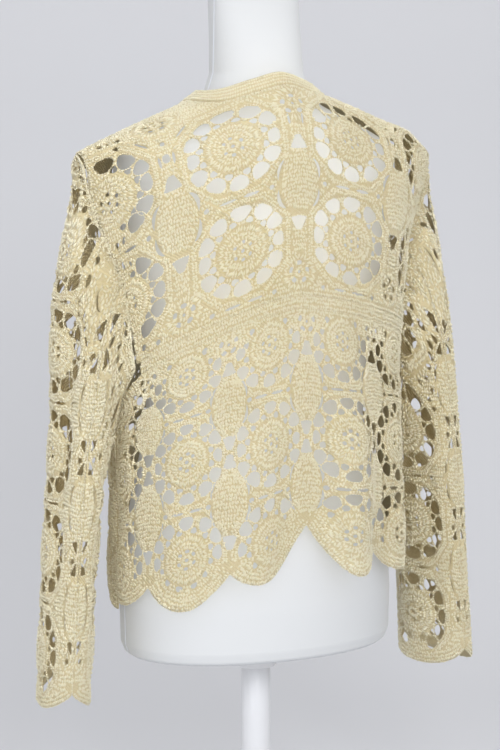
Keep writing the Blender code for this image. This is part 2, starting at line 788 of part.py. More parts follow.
def turned(name, profile, low, material, middle_y=0.0, sides=40):
    """A closed turned solid that stands at a height, from (radius, height) rows."""
    angles = np.arange(sides) / sides * 2 * math.pi
    ring = np.stack([np.cos(angles), np.sin(angles), np.zeros(sides)], axis=-1)
    rings = [ring * radius + (0, middle_y, low + height) for radius, height in profile]
    return lofted(name, rings, material)


def dress_form():
    cover = new_material("form_cover", FORM_WHITE, 0.85)
    paint = new_material("stand_paint", STAND_WHITE, 0.4)
    form_torso(cover)
    height, _, behind, before = FORM_SECTIONS[-1]
    turned("form_neck_cap", CAP_PROFILE, FORM_BOTTOM + height + SEAM_GAP, cover, (behind - before) / 2)
    socket_low = FORM_BOTTOM - SEAM_GAP - SOCKET_HEIGHT
    turned("stand_socket", SOCKET_PROFILE, socket_low, paint)
    pole_low = BASE_HEIGHT + BASE_COLLAR + SEAM_GAP
    pole_length = socket_low - SEAM_GAP - pole_low
    turned("stand_pole", ((POLE_RADIUS, 0), (POLE_RADIUS, pole_length)), pole_low, paint)
    turned("stand_base", BASE_PROFILE, 0, paint)


def cardigan():
    yarn = new_material("crochet_cotton", ECRU, 0.9)
    made = [
        back_yoke(yarn),
        back_body(yarn),
        yoke_band(yarn),
        front("front_left", 1, yarn),
        front("front_right", -1, yarn),
        neckband(yarn),
    ]
    for side, name in ((1, "left"), (-1, "right")):
        made.append(sleeve_half(f"sleeve_{name}_outer", side, True, yarn))
        made.append(sleeve_half(f"sleeve_{name}_inner", side, False, yarn))
    for piece, _ in made:
        face_out(piece)
    for piece, gaps in made:
        print(piece.name, len(piece.data.polygons), "faces", len(gaps), "gaps")
    print("gaps in all", sum(len(gaps) for _, gaps in made))


def main():
    for old in list(bpy.data.objects):
        bpy.data.objects.remove(old)
    dress_form()
    cardigan()


main()
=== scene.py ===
# Crochet lace cardigan on a limbless dress form. Lengths are millimetres until a mesh is made, in metres.
# Cloth is charted flat: s runs round from the centre line, h down from the yoke seam; on a sleeve s runs
# round from its outer line and h up from the cuff.

import json
import math

import bmesh
import bpy
import numpy as np
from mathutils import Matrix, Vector, geometry

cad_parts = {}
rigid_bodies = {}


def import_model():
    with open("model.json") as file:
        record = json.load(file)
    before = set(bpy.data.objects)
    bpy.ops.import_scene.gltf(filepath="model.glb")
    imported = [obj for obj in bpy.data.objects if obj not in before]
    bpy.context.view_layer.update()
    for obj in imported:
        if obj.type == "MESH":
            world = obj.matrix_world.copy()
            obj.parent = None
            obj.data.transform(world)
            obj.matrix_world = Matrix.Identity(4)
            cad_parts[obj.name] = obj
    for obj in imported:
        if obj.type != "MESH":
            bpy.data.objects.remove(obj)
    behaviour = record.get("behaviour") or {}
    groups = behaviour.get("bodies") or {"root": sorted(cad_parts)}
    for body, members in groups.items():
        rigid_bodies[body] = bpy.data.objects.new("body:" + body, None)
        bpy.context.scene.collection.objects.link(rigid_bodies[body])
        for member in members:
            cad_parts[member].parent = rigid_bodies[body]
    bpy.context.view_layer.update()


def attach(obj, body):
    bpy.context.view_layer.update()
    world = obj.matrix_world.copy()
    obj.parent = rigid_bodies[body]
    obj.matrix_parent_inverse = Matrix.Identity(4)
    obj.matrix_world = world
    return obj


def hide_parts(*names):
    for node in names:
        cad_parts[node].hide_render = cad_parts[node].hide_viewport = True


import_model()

mm = 0.001
seamGap = 0.3
random = np.random.default_rng(7)

cameraView = {
    "azimuth": 155.0,
    "elevation": 7.0,
    "distance": 2.6,
    "target": (0.0, 0.0, 0.577),
    "slide": -0.007,  # to the right of the target
    "lens": 71.7,
    "sensorHeight": 24.0,
}


def viewDirections(view):
    azimuth, elevation = math.radians(view["azimuth"]), math.radians(view["elevation"])
    flat = math.cos(elevation)
    back = Vector((math.sin(azimuth) * flat, -math.cos(azimuth) * flat, math.sin(elevation)))
    right = Vector((math.cos(azimuth), math.sin(azimuth), 0))
    return back, right


def placeCamera(view):
    back, right = viewDirections(view)
    target = Vector(view["target"]) + right * view["slide"]
    data = bpy.data.cameras.new("camera")
    data.sensor_fit = "VERTICAL"
    data.sensor_height = view["sensorHeight"]
    data.lens = view["lens"]
    camera = bpy.data.objects.new("camera", data)
    camera.location = target + back * view["distance"]
    camera.rotation_euler = back.to_track_quat("Z", "Y").to_euler()
    bpy.context.scene.collection.objects.link(camera)
    bpy.context.scene.camera = camera


placeCamera(cameraView)
print("camera placed")

# The cardigan's form

body = {
    "nape": 924.0,
    "seamCentre": 672.0,  # height of the yoke seam at the centre line
    "halfWidth": 250.0,  # centre line to side seam, flat
    "depthBack": 112.0,
    "depthFront": 118.0,
    "roundness": 2.4,
    "shoulderReach": 226.0,
    "ridgeShare": 0.96,  # x over s along the sloping shoulder
    "neckHalfWidth": 65.2,
    "neckBackDepth": 62.0,
    "frontEdge": 42.0,
    "frontEdgeDrop": 170.0,
    "seamDropLeft": 70.0,
    "seamDropRight": 42.0,
    "seamDropReach": 190.0,
    "seamDropPower": 1.4,
    "frontDropShare": 0.62,
    "leastTurn": 22.0,
    "sideLift": 0.5,
    "sideLiftReach": 160.0,
    "armholePoints": ((230.0, 150.0), (221.5, 218.0)),  # (s, drop below the nape)
    "armholeCorner": 203.0,
    "underarmPoint": 228.0,
    "underarmDrop": 14.0,
    "underarmGap": 2.2,
    "bandWidth": 18.0,
    "seamBandHalf": 7.0,
    "seamReach": 198.0,
    "hemNotch": 278.0,
    "hemScallop": 27.0,
    # (s, how far the hem hangs below its own line)
    "hemHang": ((-250, 0), (-120, 0), (-60, 2), (-12, -28), (36, 0), (90, 8), (138, 15), (190, 5), (250, -8)),
    # (s, height against the nape) along the top of the shoulders
    "ridge": (
        (-250, -114),
        (-215, -83),
        (-190, -65),
        (-160, -55),
        (-120, -42),
        (-65, -20),
        (-30, 6),
        (0, 19),
        (30, 6),
        (65, -22),
        (120, -48),
        (180, -73),
        (207, -84),
        (250, -108),
    ),
    # (h, half width of the section)
    "width": ((-330, 205), (-235, 203), (-160, 190), (-90, 179), (0, 173), (150, 172), (320, 173)),
    # (s, half width, height, h where it starts, h where it is full) of each fold
    "backFolds": ((66, 56, 19, 20, 260), (-68, 46, 27, 10, 230), (150, 40, 9, 40, 240), (-166, 40, 10, 40, 260)),
    "frontFolds": ((84, 40, 13, -60, 240), (156, 40, 9, 10, 260), (-96, 44, 15, -40, 240), (-160, 40, 9, 20, 260)),
}
sleeve = {
    "bottom": 217.0,
    "toe": math.radians(12),
    "toeTop": 700.0,
    "toeReach": 250.0,
    "setIn": 2.0,
    "setOut": 1.4,
    "round": 300.0,
    "blend": 95.0,
    "pitch": 113.0,
    "firstWheel": 62.0,
    "wheels": 5,
    "rise": 0.995,
    "cuffNotch": 22.0,
    "armholeMiddle": (190.0, 205.0),  # x, drop below the nape
    # (height, middle from the centre line, half thickness, half depth)
    "sections": (
        (217, 241, 28, 54),
        (300, 236, 29, 55),
        (400, 229, 30, 56),
        (525, 219, 32, 58),
        (600, 213, 35, 57),
        (700, 202, 36, 50),
        (760, 192, 34, 40),
        (840, 180, 22, 24),
    ),
    # (degrees round from the outer line, half width in degrees, depth, h of the middle, half length)
    "folds": ((38, 34, -11, 330, 260), (-120, 40, -7, 240, 260), (150, 30, -6, 180, 200)),
}


def smoothStep(value):
    value = np.clip(value, 0, 1)
    return value * value * (3 - 2 * value)


def smoothTable(where, rows):  # a smooth curve through a table's rows
    places = np.array([row[0] for row in rows], float)
    heights = np.array([row[1] for row in rows], float)
    slopes = np.gradient(heights, places)
    where = np.clip(where, places[0], places[-1])
    i = np.clip(np.searchsorted(places, where) - 1, 0, len(places) - 2)
    step = places[i + 1] - places[i]
    f = (where - places[i]) / step
    return (
        heights[i] * (1 + 2 * f) * (1 - f) ** 2
        + heights[i + 1] * f * f * (3 - 2 * f)
        + step * slopes[i] * f * (1 - f) ** 2
        + step * slopes[i + 1] * f * f * (f - 1)
    )


def quarterSection(samples=400):  # arc fraction, x and y along a quarter of the body's section
    angle = np.linspace(0, math.pi / 2, samples)
    x = np.sin(angle) ** (2 / body["roundness"])
    y = np.cos(angle) ** (2 / body["roundness"])
    steps = np.hypot(np.diff(x * body["width"][4][1]), np.diff(y * body["depthBack"]))
    arc = np.concatenate([[0], np.cumsum(steps)])
    return arc / arc[-1], x, y


arcShare, arcX, arcY = quarterSection()


def foldHeight(s, h, folds):
    height = np.zeros_like(s)
    for middle, halfWidth, depth, start, full in folds:
        across = np.clip(1 - ((s - middle) / halfWidth) ** 2, 0, 1) ** 2
        height += depth * across * smoothStep((h - start) / (full - start))
    return height


def seamHeight(s, isFront):
    drop = np.where(s > 0, body["seamDropLeft"], body["seamDropRight"])
    behind = drop * (np.abs(s) / body["seamDropReach"]) ** body["seamDropPower"]
    side = drop * (body["halfWidth"] / body["seamDropReach"]) ** body["seamDropPower"]
    share = body["frontDropShare"]
    before = side * (share + (1 - share) * (np.abs(s) / body["halfWidth"]) ** 2)
    return body["seamCentre"] - (before if isFront else behind)


def sectionColumn(s, isFront):
    fraction = np.abs(s) / body["halfWidth"]
    x = np.interp(fraction, arcShare, arcX)
    y = np.interp(fraction, arcShare, arcY) * (body["depthFront"] if isFront else body["depthBack"])
    ridge = body["nape"] + smoothTable(s * body["ridgeShare"], body["ridge"])
    return x, y, ridge, np.maximum(y, body["leastTurn"])


def ridgeH(s, isFront):  # h of the top of the shoulder
    _, _, ridge, radius = sectionColumn(s, isFront)
    return -(ridge - seamHeight(s, isFront)) - (math.pi / 2 - 1) * radius


def hAt(s, z, isFront):
    _, _, ridge, radius = sectionColumn(s, isFront)
    drop = np.maximum(ridge - z, 0)
    turned = radius * np.arccos(np.clip(1 - drop / radius, -1, 1))
    down = np.where(drop < radius, turned, drop - radius + radius * math.pi / 2)
    return ridgeH(s, isFront) + down


def bodySurface(points, isFront):
    s, h = points[:, 0], points[:, 1]
    xFactor, yFull, ridge, radius = sectionColumn(s, isFront)
    down = np.maximum(h - ridgeH(s, isFront), 0)
    turn = np.minimum(down / radius, math.pi / 2)
    width = smoothTable(h, body["width"])
    full = np.sin(np.minimum(down / body["depthBack"], math.pi / 2))
    x = np.abs(s) * body["ridgeShare"] * (1 - full) + width * xFactor * full
    y = yFull * np.sin(turn)
    z = ridge - radius * (1 - np.cos(turn)) - np.maximum(down - radius * math.pi / 2, 0)
    lift = body["seamCentre"] - seamHeight(s, isFront)
    z += lift * body["sideLift"] * smoothStep(h / body["sideLiftReach"])
    side = x / width**2
    back = y / body["depthBack"] ** 2
    length = np.maximum(np.hypot(side, back), 1e-9)
    fold = foldHeight(s, h, body["frontFolds"] if isFront else body["backFolds"])
    x = (x + fold * side / length) * np.sign(s + 1e-9)
    y = (y + fold * back / length) * (-1 if isFront else 1)
    return np.stack([x, y, z], axis=-1)


def backSurface(points):
    return bodySurface(points, False)


def frontSurface(points):
    return bodySurface(points, True)


def surfaceNormals(surface, points, step=0.5):  # unit normals from small steps along s and h
    alongS = surface(points + (step, 0)) - surface(points - (step, 0))
    alongH = surface(points + (0, step)) - surface(points - (0, step))
    normal = np.cross(alongS, alongH)
    return normal / np.maximum(np.linalg.norm(normal, axis=1, keepdims=True), 1e-9)


def smoothThrough(points, spacing):  # points along a smooth line through a few points
    points = np.array(points, float)
    ends = np.vstack([2 * points[0] - points[1], points, 2 * points[-1] - points[-2]])
    line = []
    for i in range(1, len(ends) - 2):
        a, b, c, d = ends[i - 1 : i + 3]
        count = max(1, round(np.linalg.norm(c - b) / spacing))
        for f in np.arange(count) / count:
            bend = (2 * a - 5 * b + 4 * c - d) * f**2 + (3 * b - a - 3 * c + d) * f**3
            line.append(0.5 * (2 * b + (c - a) * f + bend))
    line.append(points[-1])
    return np.array(line)


def straightLine(start, end, spacing):
    count = max(1, round(math.dist(start, end) / spacing))
    return np.linspace(start, end, count + 1)


def closedOutline(*lines):
    outline = np.vstack(lines)
    keep = np.linalg.norm(outline - np.roll(outline, 1, axis=0), axis=1) > 0.05
    return outline[keep]


def isInside(points, outline):
    x, y = points[:, 0, None], points[:, 1, None]
    x0, y0 = outline[:, 0], outline[:, 1]
    x1, y1 = np.roll(x0, -1), np.roll(y0, -1)
    crosses = (y0 > y) != (y1 > y)
    rise = np.where(y1 == y0, 1e-9, y1 - y0)
    return (crosses & (x < (x1 - x0) * (y - y0) / rise + x0)).sum(axis=1) % 2 == 1


def distanceTo(points, outline):
    run = np.roll(outline, -1, axis=0) - outline
    offset = points[:, None] - outline
    f = np.clip((offset * run).sum(-1) / np.maximum((run**2).sum(-1), 1e-9), 0, 1)
    return np.linalg.norm(offset - run * f[..., None], axis=-1).min(axis=1)


def neckLine(offset, steps=16):
    angles = np.linspace(math.pi / 2, -math.pi / 2, steps + 1)
    s = (body["neckHalfWidth"] + offset) * np.sin(angles)
    depth = (body["neckBackDepth"] + offset * 0.9) * np.cos(angles)
    radius = sectionColumn(s, False)[3]
    down = radius * np.arcsin(np.clip(depth / radius, 0, 1))
    return np.stack([s, ridgeH(s, False) + down + seamGap / 2], axis=-1)


def frontLine(offset, side, steps=15):
    top = body["neckHalfWidth"] + offset
    low = body["frontEdge"] + offset
    start = float(ridgeH(np.array([top * side]), True)[0]) + seamGap / 2
    fractions = np.linspace(0, 1, 8)
    s = top + (low - top) * np.sin(fractions * math.pi / 2)
    h = start + body["frontEdgeDrop"] * fractions
    upper = np.stack([s * side, h], axis=-1)
    lower = np.linspace((low * side, h[-1]), (low * side, body["hemNotch"] - 4), steps)
    return np.vstack([upper, lower[1:]])


def armholeLine(side, isFront, spacing=21.0):
    corner, reach = body["armholeCorner"], body["shoulderReach"]
    tip = float(ridgeH(np.array([reach * side]), isFront)[0]) + seamGap / 2
    low = float(seamHeight(np.array([corner * side]), False)[0])
    under = float(seamHeight(np.array([body["halfWidth"] * side]), False)[0]) - body["underarmDrop"]
    places = [(s, body["nape"] - drop) for s, drop in body["armholePoints"]] + [(corner, low)]
    edge = [(reach * side, tip)]
    for s, z in places:
        edge.append((s * side, float(hAt(np.array([s * side]), z, isFront)[0])))
    halfWidth = body["halfWidth"] * side
    end = (halfWidth, float(hAt(np.array([halfWidth]), under, isFront)[0]))
    bend = (body["underarmPoint"] * side, (edge[-1][1] + end[1]) / 2 + 5)
    return smoothThrough(edge, spacing), smoothThrough([edge[-1], bend, end], spacing)


def hemLine(start, end, isFront, spacing=6.0):
    count = max(2, round(abs(end - start) / spacing))
    s = np.linspace(start, end, count + 1)
    scallop = np.abs(np.sin((s - lace["bodyOffset"]) / lace["bodyPitch"] * math.pi)) ** 0.7
    hang = 0 if isFront else smoothTable(s, body["hemHang"])
    return np.stack([s, body["hemNotch"] + hang + body["hemScallop"] * scallop], axis=-1)


def armholeLoop(side):  # angle and place of the sleeve's stations round the armhole
    x, drop = sleeve["armholeMiddle"]
    middle = np.array([x * side, 0, body["nape"] - drop])
    halves = []
    for isFront in (False, True):
        upper, under = armholeLine(side, isFront)
        flat = np.vstack([upper, under[1:]])
        surface = frontSurface if isFront else backSurface
        places = surface(flat)
        outward = surfaceNormals(surface, flat) * (-1 if isFront else 1)
        into = np.cross(outward, np.gradient(places, axis=0))
        into *= np.sign((into * (middle - places)).sum(axis=1, keepdims=True))
        into /= np.linalg.norm(into, axis=1, keepdims=True)
        halves.append(places + into * sleeve["setIn"] + outward * sleeve["setOut"])
    behind, before = halves
    for end in (0, -1):
        behind[end] = before[end] = (behind[end] + before[end]) / 2
    angles = [-np.linspace(0, math.pi, len(before))[:0:-1], np.linspace(0, math.pi, len(behind))]
    return np.concatenate(angles), np.vstack([before[:0:-1], behind])


def sleeveSurface(side):
    loopAngles, loopPlaces = armholeLoop(side)
    heights = [row[0] for row in sleeve["sections"]]
    tables = [[(z, row[k]) for z, row in zip(heights, sleeve["sections"])] for k in (1, 2, 3)]

    def surface(points):
        s = (points[:, 0] + sleeve["round"] / 2) % sleeve["round"] - sleeve["round"] / 2
        angle = s / sleeve["round"] * 2 * math.pi
        rise = points[:, 1]
        z = sleeve["bottom"] + rise * sleeve["rise"]
        middle, thick, deep = (smoothTable(z, rows) for rows in tables)
        fold = np.zeros_like(angle)
        for place, half, depth, height, length in sleeve["folds"]:
            turn = np.angle(np.exp(1j * (angle - math.radians(place)))) / math.radians(half)
            along = (rise - height) / length
            fold += depth * np.clip(1 - turn**2, 0, 1) ** 2 * np.clip(1 - along**2, 0, 1)
        across, out = np.cos(angle), np.sin(angle)
        across = np.sign(across) * np.abs(across) ** 0.85 * (thick + fold)
        out = np.sign(out) * np.abs(out) ** 0.9 * (deep + fold * 0.6)
        toe = sleeve["toe"] * smoothStep((sleeve["toeTop"] - z) / sleeve["toeReach"])
        x = middle + across * np.cos(toe) + out * np.sin(toe)
        y = out * np.cos(toe) - across * np.sin(toe)
        ring = np.stack([x * side, y, z], axis=-1)
        hold = [np.interp(angle, loopAngles, loopPlaces[:, k]) for k in range(3)]
        hold = np.stack(hold, axis=-1)
        top = (hold[:, 2] - sleeve["bottom"]) / sleeve["rise"]
        free = smoothStep((top - rise) / sleeve["blend"])[:, None]
        return hold * (1 - free) + ring * free

    return surface


# The lace: holes that are cut through, and stitches that are laid on

lace = {
    "yokePitch": 140.0,
    "yokeRows": (-190.0, -75.0),
    "yokeWide": 1.1,
    "bodyPitch": 99.0,
    "bodyOffset": -10.0,
    "bodyRows": (40.0, 153.0, 262.0),
    "bodyWide": 0.9,
    "bodyOpenness": 0.9,
    "frontColumns": (112.0, 196.0),
    "frontRows": (-186.0, -74.0, 38.0, 150.0, 262.0),
    "frontPitch": 84.0,
    "sleeveWide": 0.95,
    "discReach": 28.0,  # radius of the solid disc
    "bandDepth": 6.9,  # of the dense band round each wheel
    "cornerCut": 1.46,  # how far the wheel's outline runs into its corners
    "meshInner": 32.8,  # wheel's centre to the near ends of its large holes
    "mostMesh": 49.5,  # and to their far ends
    "leafHalf": (22.0, 34.0),
    "pitch": 3.0,  # between stitches
    "stitchRadius": 1.45,
    "yarnRadius": 0.98,
    "chainPitch": 2.8,
}
# (degrees from the wheel's upright, half width in degrees) of one quarter's large holes in the mesh
meshHoles = ((0, 15.3), (33, 14.1), (61, 13.1), (90, 13.3))
# the small holes between the disc's scallops and the large holes
tipHoles = ((16.5, 7.6), (47, 7.0), (75.5, 7.0))


def newChart(wheels, wide, halfAcross, halfAlong, openness=1.0):  # one cloth piece's lace, flat
    return {
        "holes": [],
        "loops": [],
        "starts": [],
        "ends": [],
        "sizes": [],
        "wheels": wheels,
        "wide": wide,
        "halfAcross": halfAcross,
        "halfAlong": halfAlong,
        "openness": openness,
        "leaves": [],
        "fans": [],
        "spares": [],
    }


def wheelPoint(middle, angle, reach, wide):
    across = np.sin(angle) * reach * wide
    return np.stack([middle[0] + across, middle[1] + np.cos(angle) * reach], axis=-1)


def octagonReach(chart, angle, inset=0.0):
    across = np.abs(np.sin(angle)) * chart["wide"] / (chart["halfAcross"] - inset)
    along = np.abs(np.cos(angle)) / (chart["halfAlong"] - inset)
    return 1 / np.maximum(np.maximum(across, along), (across + along) / lace["cornerCut"])


def addStitches(chart, starts, ends, radius=None):
    count = len(starts)
    chart["starts"].append(starts)
    chart["ends"].append(ends)
    chart["sizes"].append(np.full(count, radius or lace["stitchRadius"]))


def addRound(chart, middle, inner, outer, count, phase=0.0, lean=0.05, radius=None):
    angles = (np.arange(count) + phase) / count * 2 * math.pi
    wide = chart["wide"]
    inner = inner(angles) if callable(inner) else inner
    outer = outer(angles) if callable(outer) else outer
    starts = wheelPoint(middle, angles - lean, inner, wide)
    addStitches(chart, starts, wheelPoint(middle, angles + lean, outer, wide), radius)


def roundedHole(middle, width, height, turn, sides=10):
    angles = np.arange(sides) * 2 * math.pi / sides + math.pi / sides
    swell = 1 + random.uniform(-0.07, 0.07, sides)
    x = np.sign(np.cos(angles)) * np.abs(np.cos(angles)) ** 0.8 * width / 2 * swell
    y = np.sign(np.sin(angles)) * np.abs(np.sin(angles)) ** 0.8 * height / 2 * swell
    c, s = math.cos(turn), math.sin(turn)
    return np.array(middle) + np.stack([x * c - y * s, x * s + y * c], axis=-1)


def ringHole(chart, middle, angle, halfTurn, inner, outer, sides=12):
    turns = (np.arange(sides) + 0.5) * 2 * math.pi / sides
    swell = 1 + random.uniform(-0.07, 0.07, sides)
    across = np.sign(np.cos(turns)) * np.abs(np.cos(turns)) ** 0.75 * swell
    along = np.sign(np.sin(turns)) * np.abs(np.sin(turns)) ** 0.85 * swell
    if sides < 10:
        taper = -0.35  # wider beside the disc, where two scallops part
    else:
        taper = 0.16
    angles = angle + halfTurn * across * (1 + taper * along)
    reach = (inner + outer) / 2 + (outer - inner) / 2 * along
    return wheelPoint(middle, angles, reach, chart["wide"])


def addHole(chart, hole, edged=True):
    chart["holes"].append(hole)
    if edged:
        centre = hole.mean(axis=0)
        away = hole - centre
        length = np.linalg.norm(away, axis=1, keepdims=True)
        chart["loops"].append(centre + away * (length + lace["yarnRadius"] * 0.6) / length)


def fourTimes(degrees):  # a quarter's angle, on each side of both axes
    turned = {degrees % 360, (180 - degrees) % 360, (-degrees) % 360, (180 + degrees) % 360}
    return [math.radians(value) for value in sorted(turned)]


def addWheel(chart, middle):
    wide = chart["wide"]
    disc = lace["discReach"]
    addHole(chart, roundedHole(middle, 4.6, 4.6, 0, sides=6), edged=False)
    addRound(chart, middle, 2.9, 6.9, 14, lean=0.16)
    for k in range(6):
        angle = math.radians(60 * k + random.uniform(-8, 8))
        place = wheelPoint(middle, angle, 9.6, wide)
        addHole(chart, roundedHole(place, 5.2, 4.4, -angle, sides=6), edged=False)
    addRound(chart, middle, 7.2, 11.8, 22, phase=0.5)
    addRound(chart, middle, 12.0, 16.2, 30, lean=0.03)
    addRound(chart, middle, 16.0, 20.2, 38, phase=0.5)

    def scallopEdge(angles):
        return disc - 2.2 + 1.6 * np.abs(np.cos(angles * 8))

    addRound(chart, middle, 20.2, scallopEdge, 56, lean=0.02, radius=1.3)
    for reach in np.arange(disc + 2.4, 48, 4.2):
        count = round(2 * math.pi * reach / 3.2)
        angles = np.arange(count) / count * 2 * math.pi
        angles = angles[octagonReach(chart, angles) - lace["bandDepth"] > reach + 1.6]
        if len(angles):
            starts = wheelPoint(middle, angles, reach - 2.2, wide)
            addStitches(chart, starts, wheelPoint(middle, angles, reach + 2.2, wide))
    for degrees, half in meshHoles:
        for angle in fourTimes(degrees):
            angle += math.radians(random.uniform(-2, 2))
            outer = min(octagonReach(chart, angle) - lace["bandDepth"] - 0.6, lace["mostMesh"])
            inner = lace["meshInner"] + random.uniform(-1.2, 0.8) + (1 - chart["openness"]) * 9
            if outer - inner > 4:
                turn = math.radians(half) * random.uniform(0.86, 1.02) * chart["openness"]
                addHole(chart, ringHole(chart, middle, angle, turn, inner, outer))
    for degrees, half in tipHoles:
        for angle in fourTimes(degrees):
            outer = 36.2 + random.uniform(-0.8, 0.8)
            hole = ringHole(chart, middle, angle, math.radians(half), disc + 1.0, outer, sides=7)
            addHole(chart, hole, edged=False)
    addBand(chart, middle)


def addBand(chart, middle):  # the dense octagon of two rounds that frames a wheel
    fine = np.linspace(0, 2 * math.pi, 400)
    reach = octagonReach(chart, fine)
    points = wheelPoint((0, 0), fine, reach, chart["wide"])
    run = np.concatenate([[0], np.cumsum(np.linalg.norm(np.diff(points, axis=0), axis=1))])
    depth = lace["bandDepth"]
    for inset, length in ((0.6, depth * 0.44), (depth * 0.5, depth * 0.5)):
        count = round(run[-1] / lace["pitch"])
        angles = np.interp((np.arange(count) + inset) / count * run[-1], run, fine)
        outer = wheelPoint(middle, angles, octagonReach(chart, angles, inset), chart["wide"])
        near = octagonReach(chart, angles, inset + length)
        inner = wheelPoint(middle, angles + 0.02, near, chart["wide"])
        addStitches(chart, inner, outer)


def addLeaf(chart, middle, halfWidth, ownSide=0):  # ownSide: -1 or 1 where a split runs along the leaf
    halfHeight = lace["leafHalf"][1]
    chart["leaves"].append((middle, halfWidth, halfHeight))
    rows = np.arange(-halfHeight + 2.5, halfHeight - 1.5, 4.4)
    for k, row in enumerate(rows):
        half = halfWidth * math.sqrt(max(0.0, 1 - (row / halfHeight) ** 2)) - 0.6
        across = np.arange(-half, half + 0.1, lace["pitch"]) + (k % 2) * 1.2
        across = across[np.abs(across) <= half]
        bow = -3.0 * (1 - (across / halfWidth) ** 2)
        heights = np.full_like(across, middle[1] + row - 2.3) + bow
        starts = np.stack([middle[0] + across * 0.94, heights], axis=-1)
        addStitches(chart, starts, starts + np.stack([across * 0.07, np.full_like(across, 4.7)], axis=-1))
    wide = (13.0 if ownSide else 9.6) * chart["wide"]
    slit = (1.4, 2.8) if ownSide else (3.4, 5.6)
    for up in (-1, 1):
        foot, tip = middle[1] + up * 37.6, middle[1] + up * 53
        corners = ((0, foot - up), (wide, foot), (wide * 0.72, foot + up * 7), (3.4, tip))
        if ownSide:
            half = [(middle[0] + ownSide * max(x, 2.6), y) for x, y in corners + ((0, tip),)]
            addHole(chart, np.array(half))
        else:
            corners += tuple((-x, y) for x, y in corners[:0:-1])
            addHole(chart, np.array([(middle[0] + x, y) for x, y in corners]))
    for side in (-1, 1):
        for low, high in ((38, 85), (95, 140)):
            angles = np.radians(np.linspace(low, high, 6)) * side
            x, y = np.sin(angles) * (halfWidth + 1.6), -np.cos(angles) * (halfHeight + 1.6)
            near = np.stack([x, y], axis=-1)
            depth = random.uniform(*slit) * np.sin(np.linspace(0, math.pi, 6))[:, None]
            far = near * (1 + depth / np.linalg.norm(near, axis=1)[:, None])
            addHole(chart, np.vstack([near, far[::-1][1:-1]]) + middle, edged=False)


def addFan(chart, middle, reach=21.0):  # a small round motif in a leaf column
    chart["fans"].append((middle, reach))
    addHole(chart, roundedHole(middle, 4.0, 4.0, 0, sides=6), edged=False)
    addRound(chart, middle, 2.6, 6.6, 11, lean=0.16)
    for k in range(5):
        angle = math.radians(72 * k + 36)
        place = wheelPoint(middle, angle, 10.2, chart["wide"])
        addHole(chart, roundedHole(place, 7.8, 5.8, -angle, sides=7), edged=False)
    addRound(chart, middle, 7.6, 13.2, 15, phase=0.5)
    addRound(chart, middle, 13.2, reach - 0.8, 32, lean=0.03)


def addSlit(chart, middle, length, width, turn=0.0):
    half, thick = length / 2, width / 2
    corners = ((-half, 0), (-half * 0.5, -thick), (half * 0.5, -thick))
    corners += ((half, 0), (half * 0.5, thick), (-half * 0.5, thick))
    x, y = np.array(corners).T
    c, s = math.cos(turn), math.sin(turn)
    addHole(chart, np.stack([x * c - y * s, x * s + y * c], axis=-1) + middle, edged=False)


def addBandSlits(chart, middle, away, length, corner):  # the openings in the join of two wheels
    for side in (-1, 1):
        span, gap = length * random.uniform(0.85, 1.05), random.uniform(2.8, 4.2)
        addSlit(chart, (middle[0] + side * away, middle[1]), span, gap)
        place = (middle[0] + side * corner, middle[1])
        addHole(chart, roundedHole(place, 6.4, 6.0, 0.4, sides=7), edged=False)


def addSpares(chart, line, reach):  # small openings along a line where the motifs are cut short
    low, high = line.min(axis=0) - reach, line.max(axis=0) + reach
    for index, y in enumerate(np.arange(low[1], high[1], 12.5)):
        for x in np.arange(low[0] + 5.5 * (index % 2), high[0], 11.0):
            middle = np.array([x, y]) + random.uniform(-1.8, 1.8, 2)
            if openDistance(middle[None], line)[0] < reach:
                width, height = random.uniform(4.2, 7.0), random.uniform(6.0, 10.5)
                hole = roundedHole(middle, width, height, random.uniform(-0.5, 0.5), sides=7)
                chart["spares"].append(hole)


def isFree(chart, hole):  # whether a spare opening is clear of every motif and opening
    centre = hole.mean(axis=0)
    for middle in chart["wheels"]:
        if np.hypot(*((centre - middle) / (chart["wide"], 1))) < lace["discReach"] + 6:
            return False
    for middle, halfWidth, halfHeight in chart["leaves"]:
        if np.hypot(*((centre - middle) / (halfWidth + 5, halfHeight + 5))) < 1:
            return False
    for middle, reach in chart["fans"]:
        if np.hypot(*(centre - middle)) < reach:
            return False
    for other in chart["holes"]:
        if np.abs(other.mean(axis=0) - centre).max() < 40:
            if isInside(hole, other).any() or distanceTo(hole, other).min() < 3.4:
                return False
    return True


def addGround(chart, outline):  # plain rows of stitches wherever no motif lies
    low, high = outline.min(axis=0), outline.max(axis=0)
    step = 4.4
    columns = np.arange(low[0] + 1, high[0], lace["pitch"])
    rows = np.arange(low[1] + 2, high[1], step)
    grid = np.stack(np.meshgrid(columns, rows), axis=-1)
    grid[1::2, :, 0] += lace["pitch"] / 2
    grid = grid.reshape(-1, 2)
    for middle in chart["wheels"]:
        offset = grid - middle
        angle = np.arctan2(offset[:, 0] / chart["wide"], offset[:, 1])
        reach = np.hypot(offset[:, 0] / chart["wide"], offset[:, 1])
        grid = grid[reach > octagonReach(chart, angle) + 1.9]
    for middle, halfWidth, halfHeight in chart["leaves"]:
        offset = (grid - middle) / (halfWidth + 4.6, halfHeight + 4.0)
        grid = grid[np.hypot(offset[:, 0], offset[:, 1]) > 1]
    for middle, reach in chart["fans"]:
        offset = (grid - middle) / (chart["wide"], 1)
        grid = grid[np.hypot(offset[:, 0], offset[:, 1]) > reach + 1]
    addStitches(chart, grid - (0, step * 0.5), grid + (0, step * 0.5))


